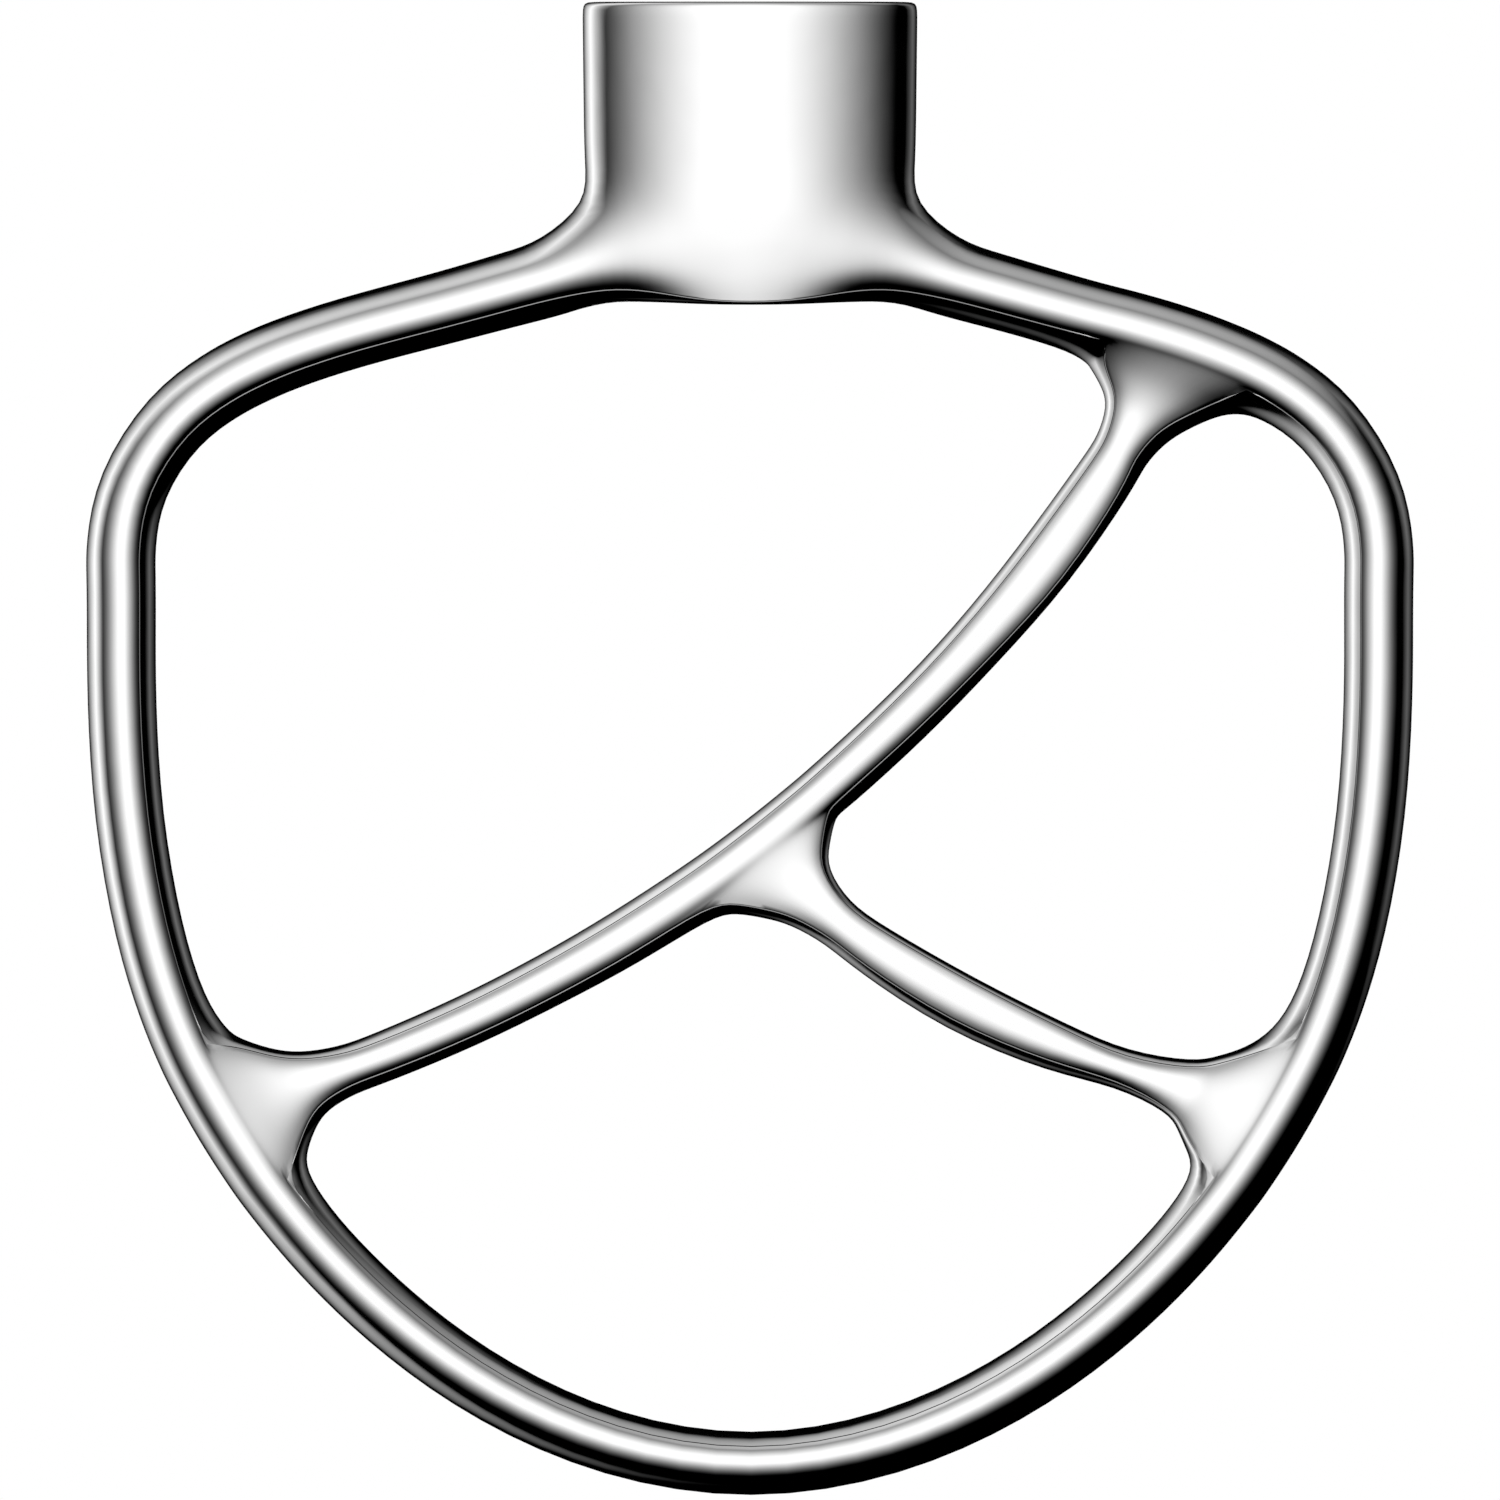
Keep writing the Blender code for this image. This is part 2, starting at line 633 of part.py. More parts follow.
def slot_tool(name, direction, width, reach, bottom, top):
    """Upright slot with a round end, from the socket's axis out to a reach."""
    bm = bmesh.new()
    half = width / 2
    turns = [math.pi * (i / SLOT_TURNS - 0.5) for i in range(SLOT_TURNS + 1)]
    outline = [(0.0, half), (0.0, -half)]
    outline += [(reach - half + half * math.cos(t), half * math.sin(t)) for t in turns]
    face = bm.faces.new([bm.verts.new((x, y, bottom)) for x, y in outline])
    grown = bmesh.ops.extrude_face_region(bm, geom=[face])
    lifted = [item for item in grown["geom"] if isinstance(item, bmesh.types.BMVert)]
    bmesh.ops.translate(bm, verts=lifted, vec=(0.0, 0.0, top - bottom))
    bmesh.ops.recalc_face_normals(bm, faces=bm.faces)
    mesh = bpy.data.meshes.new(name)
    bm.to_mesh(mesh)
    bm.free()
    tool = add_object(name, mesh)
    tool.rotation_euler = (0.0, 0.0, direction)
    return tool


def cut_socket(body):
    """Bore, cavity, keyway and pin seat that take the mixer's shaft and its cross pin."""
    bore = SHAFT_DIAMETER / 2 + SHAFT_CLEARANCE
    cavity = SOCKET_CAVITY_DIAMETER / 2
    profile = (
        (bore + SOCKET_CHAMFER + CUT_OVERRUN, CUT_OVERRUN),
        (bore, -SOCKET_CHAMFER),
        (bore, -SOCKET_ROOF),
        (cavity - SOCKET_CHAMFER, -SOCKET_ROOF),
        (cavity, -SOCKET_ROOF - SOCKET_CHAMFER),
        (cavity, -HUB_HEIGHT + SOCKET_CHAMFER),
        (cavity + SOCKET_CHAMFER + CUT_OVERRUN, -HUB_HEIGHT - CUT_OVERRUN),
    )
    socket = turned_tool("socket_tool", profile, SOCKET_SIDES)
    keyway_width = PIN_DIAMETER + PIN_CLEARANCE
    below_roof = -SOCKET_ROOF - CUT_OVERRUN
    keyway = slot_tool("keyway_tool", -math.pi / 2, keyway_width, PIN_REACH, below_roof, CUT_OVERRUN)
    seat_top = -SOCKET_ROOF + PIN_SEAT_DEPTH
    seat = slot_tool("pin_seat_tool", math.pi, keyway_width, PIN_REACH, below_roof, seat_top)
    tools = (socket, keyway, seat)
    for tool in tools:
        cut(body, tool)
    return tools


def build_beater():
    """The finished casting."""
    cage, cap_row = lay_out_casting()
    body = add_object("flat_beater", mesh_of(cage, cap_row, "flat_beater"))
    body.data.materials.append(steel())
    rounding = body.modifiers.new("rounding", "SUBSURF")
    rounding.levels = 1
    rounding.render_levels = 1
    tools = cut_socket(body)
    settle(body)
    for tool in tools:
        bpy.data.objects.remove(tool)
    return body


for leftover in list(bpy.data.objects):
    bpy.data.objects.remove(leftover)
build_beater()
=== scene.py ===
"""Studio picture of a stand mixer's flat beater, cast in one piece of stainless steel.

The casting is laid out as a cage of quads that a subdivision rounds: an oval bar bent
into a loop, two ribs with their webs, and a hub with a drive socket. It takes the place
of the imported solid, and carries the fine grooves and the polish that the solid lacks.
Lengths are in metres. +X runs across the beater, -Y to its front, +Z up the shaft.
"""
from __future__ import annotations

import logging
from dataclasses import dataclass, field
from enum import Enum
from math import cos, pi, radians, sin

import bmesh
import bpy
import numpy as np
from bmesh.types import BMesh, BMVert
from bpy.types import ID, Material, Mesh, Node, NodeSocket, NodeTree, Object
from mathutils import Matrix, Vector


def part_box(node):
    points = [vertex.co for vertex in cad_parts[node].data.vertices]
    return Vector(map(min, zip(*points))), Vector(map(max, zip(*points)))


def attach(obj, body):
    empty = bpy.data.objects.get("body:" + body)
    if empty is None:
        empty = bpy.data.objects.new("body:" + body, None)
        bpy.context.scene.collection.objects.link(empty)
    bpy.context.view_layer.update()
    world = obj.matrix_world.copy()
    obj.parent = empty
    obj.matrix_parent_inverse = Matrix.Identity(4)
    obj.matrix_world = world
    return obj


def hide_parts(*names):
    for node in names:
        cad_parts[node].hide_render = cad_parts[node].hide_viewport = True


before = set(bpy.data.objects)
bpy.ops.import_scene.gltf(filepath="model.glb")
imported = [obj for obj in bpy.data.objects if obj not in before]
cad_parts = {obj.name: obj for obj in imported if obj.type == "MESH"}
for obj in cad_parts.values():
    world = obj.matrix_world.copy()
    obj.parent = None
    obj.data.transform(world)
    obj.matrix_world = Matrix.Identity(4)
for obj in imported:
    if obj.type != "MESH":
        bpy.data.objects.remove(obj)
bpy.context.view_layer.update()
SOLID_LOW, SOLID_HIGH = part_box("flat_beater")

LOG = logging.getLogger("flat_beater")
MM = 0.001
# Angle of the crest in the bar's oval section, in degrees
CREST = 90
# A rounded line passes inside its points by this share of their second difference
ROUNDING_PULL = 1 / 6
# Spacing of a wave texture's rings at a scale of one
WAVE_PITCH = 2 * pi / 20


class Stop(Enum):
    """What a stop on a window's rim belongs to."""

    BAR = "bar"
    CORNER = "corner"
    RIB = "rib"
    HUB = "hub"


class RoundCut(Enum):
    """Which cut of the drive socket a tool makes."""

    BORE = "socket_tool"
    KEYWAY = "keyway_tool"
    PIN_SEAT = "pin_seat_tool"


class Pattern(Enum):
    """Which marks a layer of relief has."""

    GRAIN = "ShaderNodeTexNoise"
    RINGS = "ShaderNodeTexWave"


def linear(colour: str) -> tuple[float, float, float, float]:
    """Turn an sRGB hex colour into linear light.

    Args:
        colour: six hex digits, with or without a leading hash.

    Returns:
        Red, green, blue and an alpha of one.
    """
    digits = colour.lstrip("#")
    parts = [int(digits[i:i + 2], 16) / 255 for i in (0, 2, 4)]
    # The curve that the sRGB standard gives
    bright = [part / 12.92 if part <= 0.04045 else ((part + 0.055) / 1.055) ** 2.4 for part in parts]
    return bright[0], bright[1], bright[2], 1.0


def add_node(tree: NodeTree, kind: str, settings: dict | None = None, inputs: dict | None = None) -> Node:
    """Add a node with its settings and links.

    Args:
        tree: the node tree that takes the node.
        kind: the node's type name.
        settings: values of the node's own properties.
        inputs: for an input's name or number, a value or the output that feeds it.

    Returns:
        The new node.
    """
    node = tree.nodes.new(kind)
    for name, value in (settings or {}).items():
        setattr(node, name, value)
    for name, value in (inputs or {}).items():
        if isinstance(value, NodeSocket):
            tree.links.new(value, node.inputs[name])
        else:
            node.inputs[name].default_value = value
    return node


def settled(bm: BMesh, name: str) -> Mesh:
    """Turn a form into a mesh.

    Args:
        bm: the form, which is used up.
        name: the mesh's name.

    Returns:
        The mesh.
    """
    mesh = bpy.data.meshes.new(name)
    bm.to_mesh(mesh)
    bm.free()
    return mesh


def placed(name: str, data: ID) -> Object:
    """Put an object into the scene.

    Args:
        name: the object's name.
        data: its mesh or camera.

    Returns:
        The object.
    """
    item = bpy.data.objects.new(name, data)
    bpy.context.collection.objects.link(item)
    return item


@dataclass
class SmoothLine:
    """Natural cubic spline through rows of values, read by a running knot."""

    rows: np.ndarray
    knots: np.ndarray

    def __post_init__(self) -> None:
        """Work out the second derivatives at the knots."""
        steps = np.diff(self.knots)
        count = len(self.rows)
        matrix = np.eye(count)
        right = np.zeros_like(self.rows)
        for i in range(1, count - 1):
            matrix[i, i - 1:i + 2] = steps[i - 1], 2 * (steps[i - 1] + steps[i]), steps[i]
            after = (self.rows[i + 1] - self.rows[i]) / steps[i]
            before = (self.rows[i] - self.rows[i - 1]) / steps[i - 1]
            right[i] = 6 * (after - before)
        self.bends = np.linalg.solve(matrix, right)

    @classmethod
    def through(cls, rows: list) -> SmoothLine:
        """Make a line whose knots follow the distance between its places.

        Args:
            rows: values whose first two columns are a place.

        Returns:
            The line.
        """
        table = np.array(rows, dtype=float)
        steps = np.linalg.norm(np.diff(table[:, :2], axis=0), axis=1)
        return cls(table, np.concatenate(([0.0], np.cumsum(steps))))

    def read(self, knot: float) -> np.ndarray:
        """Read the line.

        Args:
            knot: where on the line.

        Returns:
            The row there.
        """
        i = min(max(int(np.searchsorted(self.knots, knot)) - 1, 0), len(self.rows) - 2)
        step = self.knots[i + 1] - self.knots[i]
        b = (knot - self.knots[i]) / step
        a = 1 - b
        sag = ((a ** 3 - a) * self.bends[i] + (b ** 3 - b) * self.bends[i + 1]) * step ** 2 / 6
        return a * self.rows[i] + b * self.rows[i + 1] + sag

    def halved(self) -> list[np.ndarray]:
        """List all rows, with one more row in the middle of each step.

        Returns:
            The rows, in order.
        """
        middles = [self.read((a + b) / 2) for a, b in zip(self.knots, self.knots[1:])]
        rows = [self.rows[0]]
        for middle, row in zip(middles, self.rows[1:]):
            rows += [middle, row]
        return rows


@dataclass
class Cage:
    """Points and quads of the casting's front half, which the back half repeats."""

    points: list[Vector] = field(default_factory=list)
    quads: list[tuple[int, ...]] = field(default_factory=list)
    sharp_edges: list[tuple[int, int]] = field(default_factory=list)
    sharp_points: list[int] = field(default_factory=list)

    def add(self, place: Vector, height: float) -> int:
        """Add a point at a place in the XZ plane and a height in front of it, and number it."""
        self.points.append(Vector((place[0], -height, place[1])))
        return len(self.points) - 1

    def place(self, point: int) -> Vector:
        """Give a point's place in the XZ plane."""
        return Vector((self.points[point].x, self.points[point].z))

    def height(self, point: int) -> float:
        """Give a point's height in front of the parting plane."""
        return -self.points[point].y

    def sheet(self, lines: list) -> None:
        """Fill the strips between lines of points with quads.

        Args:
            lines: lines with the same number of points.
        """
        for line, after in zip(lines, lines[1:]):
            for i in range(len(line) - 1):
                self.quads.append((line[i], line[i + 1], after[i + 1], after[i]))

    def sharpen(self, line: list[int]) -> None:
        """Keep the edges along a line of points crisp."""
        self.sharp_edges += list(zip(line, line[1:]))

    def mesh(self, name: str, cap_row: list[int]) -> Mesh:
        """Close the two halves into one mesh.

        Args:
            name: the mesh's name.
            cap_row: the front half of the hub's top rim.

        Returns:
            The mesh, with its creases.
        """
        bm = bmesh.new()
        crease = bm.edges.layers.float.new("crease_edge")
        point_crease = bm.verts.layers.float.new("crease_vert")
        front = [bm.verts.new(point) for point in self.points]
        back = [vert if point.y == 0.0 else bm.verts.new((point.x, -point.y, point.z))
                for vert, point in zip(front, self.points)]
        for quad in self.quads:
            bm.faces.new([front[i] for i in quad])
            bm.faces.new([back[i] for i in reversed(quad)])
        bm.faces.new([front[i] for i in cap_row] + [back[i] for i in reversed(cap_row[1:-1])])
        for side in (front, back):
            for a, b in self.sharp_edges:
                bm.edges.get((side[a], side[b]))[crease] = 1.0
            for i in self.sharp_points:
                side[i][point_crease] = 1.0
        bmesh.ops.recalc_face_normals(bm, faces=bm.faces)
        return settled(bm, name)


@dataclass
class Brink:
    """One stop on a window's rim: its point on the edge line and what lies below it."""

    point: int
    stop: Stop
    wall: float
    normal: Vector | None = None
    lip: Vector = field(default_factory=Vector)
    foot: Vector = field(default_factory=Vector)
    sill: Vector = field(default_factory=Vector)


def right_of(heading: Vector) -> Vector:
    """Give the normal on the right hand of a heading, which looks into a window."""
    return Vector((heading.y, -heading.x))


def drawn_out(places: list[Vector]) -> list[Vector]:
    """Move places out so that the rounded line through them passes where they were.

    Args:
        places: the places along a line.

    Returns:
        The moved places, the two ends as they were.
    """
    moved = [place.copy() for place in places]
    for i in range(1, len(places) - 1):
        moved[i] += (2 * places[i] - places[i - 1] - places[i + 1]) * ROUNDING_PULL
    return moved


@dataclass
class LoopBar:
    """The oval bar that runs round the bowl's outline, from the hub and back to it."""

    width: float = 6.7 * MM
    depth: float = 18.5 * MM
    keel_width_share: float = 0.925
    arm_start_gap: float = 3.2 * MM
    crowding_share: float = 0.5
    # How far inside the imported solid's box the loop stays on each side
    inset: float = 0.01 * MM
    measured_steps: int = 4000
    # Right half of the centre line, hub to keel: across, down, bar width, bar depth
    route_shares: tuple = (
        (0.000, 0.1670, 1.600, 1.200),
        (0.238, 0.1794, 1.250, 1.150),
        (0.318, 0.1897, 1.110, 1.095),
        (0.397, 0.1988, 1.085, 1.036),
        (0.472, 0.2080, 1.050, 1.000),
        (0.679, 0.2323, 1.043, 1.000),
        (0.819, 0.2578, 1.036, 1.000),
        (0.9295, 0.2946, 1.022, 1.000),
        (0.9883, 0.3427, 1.012, 1.000),
        (0.9992, 0.4052, 1.000, 1.000),
        (0.9963, 0.5028, 0.993, 1.000),
        (0.962, 0.6222, 0.988, 1.000),
        (0.901, 0.7068, 0.980, 1.000),
        (0.757, 0.8138, 0.970, 1.000),
        (0.609, 0.8849, 0.963, 1.000),
        (0.368, 0.9594, 0.950, 1.000),
        (0.000, 1.0008, 0.925, 1.000),
    )
    # Shares of the loop's length, clockwise from the hub, at which a stretch ends, and
    # how many sections it has: webs lie between the 1st and 2nd, 4th and 5th, 6th and 7th
    stretch_shares: tuple = (
        (0.0931, 3), (0.1314, 4), (0.195, 5), (0.3145, 6), (0.3572, 4),
        (0.6422, 12), (0.6840, 4), (0.805, 6), (0.870, 5),
    )
    last_sections: int = 5
    # Angles round the oval section, from the outer parting line over the crest to the
    # edge line on the window side, and how far each is drawn out for the rounding
    section_shares: tuple = (
        (180, 1.026), (157, 1.026), (134, 1.026), (112, 1.026), (90, 1.019), (75, 1.010), (66, 1.008),
    )
    edge_angle: float = 60
    # How the fill at a web fades from the edge line to the crest
    fill_fade: float = 0.7

    def __post_init__(self) -> None:
        """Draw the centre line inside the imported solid's box."""
        self.half_span = (SOLID_HIGH.x - SOLID_LOW.x - self.width) / 2 - self.inset
        self.drop = SOLID_HIGH.z - SOLID_LOW.z - self.keel_width_share * self.width / 2 - self.inset
        half = []
        for across, down, width, depth in self.route_shares:
            place = self.place((across, down))
            half.append((place.x, place.y, width * self.width, depth * self.depth))
        other = [(-x, z, width, depth) for x, z, width, depth in reversed(half[:-1])]
        self.line = SmoothLine.through(half + other)
        self.fine = np.linspace(0.0, self.line.knots[-1], self.measured_steps + 1)
        places = np.array([self.line.read(knot)[:2] for knot in self.fine])
        steps = np.linalg.norm(np.diff(places, axis=0), axis=1)
        self.travelled = np.concatenate(([0.0], np.cumsum(steps)))
        self.across = places[:, 0]

    def place(self, share: tuple[float, float]) -> Vector:
        """Give a place from shares of the half span and of the drop."""
        return Vector((share[0] * self.half_span, -share[1] * self.drop))

    def section_angles(self) -> list[float]:
        """List the angles of a section's points, in degrees."""
        return [degrees for degrees, _ in self.section_shares] + [self.edge_angle]

    def stops(self, hub_radius: float) -> tuple[list[float], list[int]]:
        """Choose where the section is drawn.

        Args:
            hub_radius: the radius that the arms start clear of.

        Returns:
            Knots of the centre line, and the numbers of those that end a stretch.
        """
        clear = hub_radius + self.arm_start_gap
        first = int(np.argmax(np.abs(self.across) > clear))
        start = self.travelled[first] / self.travelled[-1]
        shares = [start]
        ends = []
        for end, sections in (*self.stretch_shares, (1 - start, self.last_sections)):
            begin = shares[-1]
            for i in range(1, sections + 1):
                turn = 2 * pi * i / sections
                crowded = (turn - self.crowding_share * sin(turn)) / (2 * pi)
                shares.append(begin + (end - begin) * crowded)
            ends.append(len(shares) - 1)
        knots = [float(np.interp(share * self.travelled[-1], self.travelled, self.fine)) for share in shares]
        return knots, ends

    def heading(self, knot: float) -> Vector:
        """Give the direction of the centre line.

        Args:
            knot: where on the line.

        Returns:
            The direction, of length one.
        """
        reach = self.line.knots[-1] / self.measured_steps
        ahead = self.line.read(min(knot + reach, self.line.knots[-1]))
        behind = self.line.read(max(knot - reach, 0.0))
        return Vector(ahead[:2] - behind[:2]).normalized()

    def lay(self, cage: Cage, knots: list[float]) -> tuple[list[list[int]], list[Brink]]:
        """Draw the front half of the bar.

        Args:
            cage: the cage that takes the points.
            knots: where each section is drawn.

        Returns:
            The sections' points, and their stops on the windows' rims.
        """
        stations = []
        brinks = []
        edge_angle = radians(self.edge_angle)
        centres = drawn_out([Vector(self.line.read(knot)[:2]) for knot in knots])
        for knot, centre in zip(knots, centres):
            width, depth = self.line.read(knot)[2:]
            inward = right_of(self.heading(knot))
            station = []
            for degrees, swell in self.section_shares:
                angle = radians(degrees)
                height = swell * depth / 2 * sin(angle) if station else 0.0
                station.append(cage.add(centre + inward * (swell * width / 2 * cos(angle)), height))
            edge = centre + inward * (width / 2 * cos(edge_angle))
            station.append(cage.add(edge, depth / 2 * sin(edge_angle)))
            stations.append(station)
            wall = width / 2 * (1 - cos(edge_angle))
            brinks.append(Brink(station[-1], Stop.BAR, wall, inward))
        cage.sheet(stations)
        return stations, brinks

    def fill_web(self, cage: Cage, stations: list[list[int]], share: float) -> None:
        """Raise the bar's face towards its crest where a web leaves it, most in its middle.

        Args:
            cage: the cage that holds the bar.
            stations: the sections that the web covers.
            share: how much of the way to the crest the edge line is raised.
        """
        angles = self.section_angles()
        crest = angles.index(CREST)
        span = CREST - self.edge_angle
        for i, station in enumerate(stations):
            fill = share * sin(pi * (i + 1) / (len(stations) + 1))
            top = cage.height(station[crest])
            for point, angle in zip(station[crest + 1:], angles[crest + 1:]):
                rise = fill * ((CREST - angle) / span) ** self.fill_fade
                cage.points[point].y -= rise * (top - cage.height(point))


@dataclass
class Hub:
    """The round hub, whose front flows down into the two arms of the loop."""

    neck_share: float = 0.9814
    height: float = 29.3 * MM
    rim_round: float = 1.35 * MM
    columns: int = 8
    swell_share: float = 1.026
    band_shares: tuple = (0.30, 0.53)
    # Front below the arms' tops, left column to the middle, by the angle of the arm's
    # section beside it: across and forward in radii, down in heights
    lower_shares: tuple = (
        (150, (0.885, 0.575, 0.680), (0.640, 0.795, 0.680), (0.345, 0.952, 0.680), (0, 1.010, 0.680)),
        (120, (0.885, 0.700, 0.782), (0.625, 0.835, 0.782), (0.335, 0.938, 0.782), (0, 0.986, 0.782)),
        (90, (0.880, 0.710, 0.875), (0.615, 0.830, 0.880), (0.330, 0.898, 0.895), (0, 0.948, 0.905)),
        (60, (0.860, 0.590, 0.940), (0.600, 0.715, 0.948), (0.325, 0.852, 0.978), (0, 0.910, 0.988)),
    )
    side_shares: tuple = (1.008, 0.664)
    sill_shares: tuple = (0.985, 0.990, 1.0, 1.0)

    def __post_init__(self) -> None:
        """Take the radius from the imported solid's depth."""
        self.radius = (SOLID_HIGH.y - SOLID_LOW.y) / 2

    def lower_columns(self, cage: Cage, angles: list[float]) -> list[list[int]]:
        """Draw the front between the arms.

        Args:
            cage: the cage that takes the points.
            angles: angle of each row of the arm's section, in degrees.

        Returns:
            Lines of points from the neck down to the edge line, left to right.
        """
        known = np.array([-row[0] for row in self.lower_shares], dtype=float)
        columns = []
        for column in range(1, len(self.lower_shares[0])):
            table = np.array([row[column] for row in self.lower_shares], dtype=float)
            line = SmoothLine(table, known)
            columns.append([line.read(-angle) for angle in angles])
        mirrored = [[(-across, forward, down) for across, forward, down in column] for column in columns]
        return [[cage.add((across * self.radius, -down * self.height), forward * self.radius)
                 for across, forward, down in column]
                for column in mirrored + columns[-2::-1]]

    def lay(self, cage: Cage, arms: tuple[list[int], list[int]],
            angles: list[float]) -> tuple[list[int], list[Brink]]:
        """Draw the front half of the hub.

        Args:
            cage: the cage that takes the points.
            arms: the sections of the left and right arm beside the hub.
            angles: angle of each row of those sections, in degrees.

        Returns:
            The top rim's points, and the hub's stops on the large window's rim.
        """
        neck = self.neck_share * self.radius
        rims = ((self.radius - self.rim_round, 0.0), (self.radius, 0.0), (self.radius, self.rim_round))
        bands = [(self.radius + (neck - self.radius) * share, share * self.height)
                 for share in self.band_shares]
        rows = []
        for reach, down in (*rims, *bands):
            row = []
            for column in range(self.columns + 1):
                angle = pi * (column / self.columns - 0.5)
                height = self.swell_share * reach * cos(angle)
                if column in (0, self.columns):
                    height = 0.0
                row.append(cage.add((self.swell_share * reach * sin(angle), -down), height))
            rows.append(row)

        columns = self.lower_columns(cage, angles[1:])
        side, level = self.side_shares
        sides = [cage.add((sign * side * self.radius, -level * self.height), 0.0) for sign in (-1, 1)]
        rows.append([sides[0], *(column[0] for column in columns), sides[1]])
        cage.sheet(rows)
        cage.sheet([arms[0][1:], *columns, arms[1][1:]])
        for side_point, arm, column in zip(sides, arms, (columns[0], columns[-1])):
            cage.quads.append((arm[0], arm[1], column[0], side_point))

        brinks = []
        for column, sill in zip(columns, self.sill_shares + self.sill_shares[-2::-1]):
            brink = Brink(column[-1], Stop.HUB, 0.0)
            brink.sill = Vector((cage.place(column[-1]).x, -sill * self.height))
            brinks.append(brink)
        return rows[0], brinks


@dataclass
class Rib:
    """A rib inside the loop, drawn between its two edge lines."""

    depth: float
    # Pairs of points across the rib on its edge lines, from its root to its end, each
    # with the widths of the walls outside them
    edge_shares: tuple
    # Rise of the webs towards the loop in the rows nearest to it, first of the crest and
    # then of the edge lines
    root_rise_shares: tuple = ()
    end_rise_shares: tuple = ((0.68, 0.50), (0.42, 0.27), (0.18, 0.09), (0.03, 0.01))
    wall: float = 1.0 * MM
    edge_height_share: float = 0.82
    flank_reach_share: float = 0.36
    flank_rise_share: float = 0.77
    crest_rise_share: float = 1.11

    def lay(self, cage: Cage, bar: LoopBar, root: list[int], end: list[int],
            junction: dict[int, float] | None = None) -> tuple[list[list[int]], list[list[Brink]]]:
        """Draw the rib's face.

        Args:
            cage: the cage that takes the points.
            bar: the loop, whose spans the rib's places are shares of.
            root: the points that the rib starts from.
            end: the points that it ends on.
            junction: for a row's number, how far its lower edge rises to the crest.

        Returns:
            The points of each row across the rib, and the stops of its two sides on the
            windows' rims.
        """
        flat = [(*bar.place(first), *bar.place(second), *walls) for first, second, walls in self.edge_shares]
        rows = SmoothLine.through(flat).halved()
        pairs = [(Vector(row[:2]), Vector(row[2:4])) for row in rows]
        crest = self.depth / 2
        edge = crest * self.edge_height_share
        web = cage.height(end[0])
        sides = []
        for side in (0, 1):
            ends = [cage.place(row[-side]) for row in (root, end)]
            sides.append(drawn_out([ends[0], *(pair[side] for pair in pairs), ends[1]])[1:-1])
        plain = ((0.0, 0.0),) * (len(pairs) - len(self.root_rise_shares) - len(self.end_rise_shares))
        rises = (*self.root_rise_shares, *plain, *reversed(self.end_rise_shares))
        stations = []
        for i, (first, second, (top_rise, edge_rise)) in enumerate(zip(*sides, rises)):
            top = crest + top_rise * (web - crest)
            low = edge + edge_rise * (web - edge)
            far = low + (junction or {}).get(i, 0.0) * (crest - edge)
            middle = (first + second) / 2
            rise = self.flank_rise_share
            heights = (low, low + rise * (top - low), low + self.crest_rise_share * (top - low),
                       far + rise * (top - far), far)
            flanks = [edge_place.lerp(middle, self.flank_reach_share) for edge_place in (first, second)]
            places = (first, flanks[0], middle, flanks[1], second)
            stations.append([cage.add(place, height) for place, height in zip(places, heights)])
        cage.sheet([root, *stations, end])
        brinks = [[Brink(station[side], Stop.RIB, row[4:][side] * self.wall)
                   for station, row in zip(stations, rows)] for side in (0, -1)]
        return stations, brinks


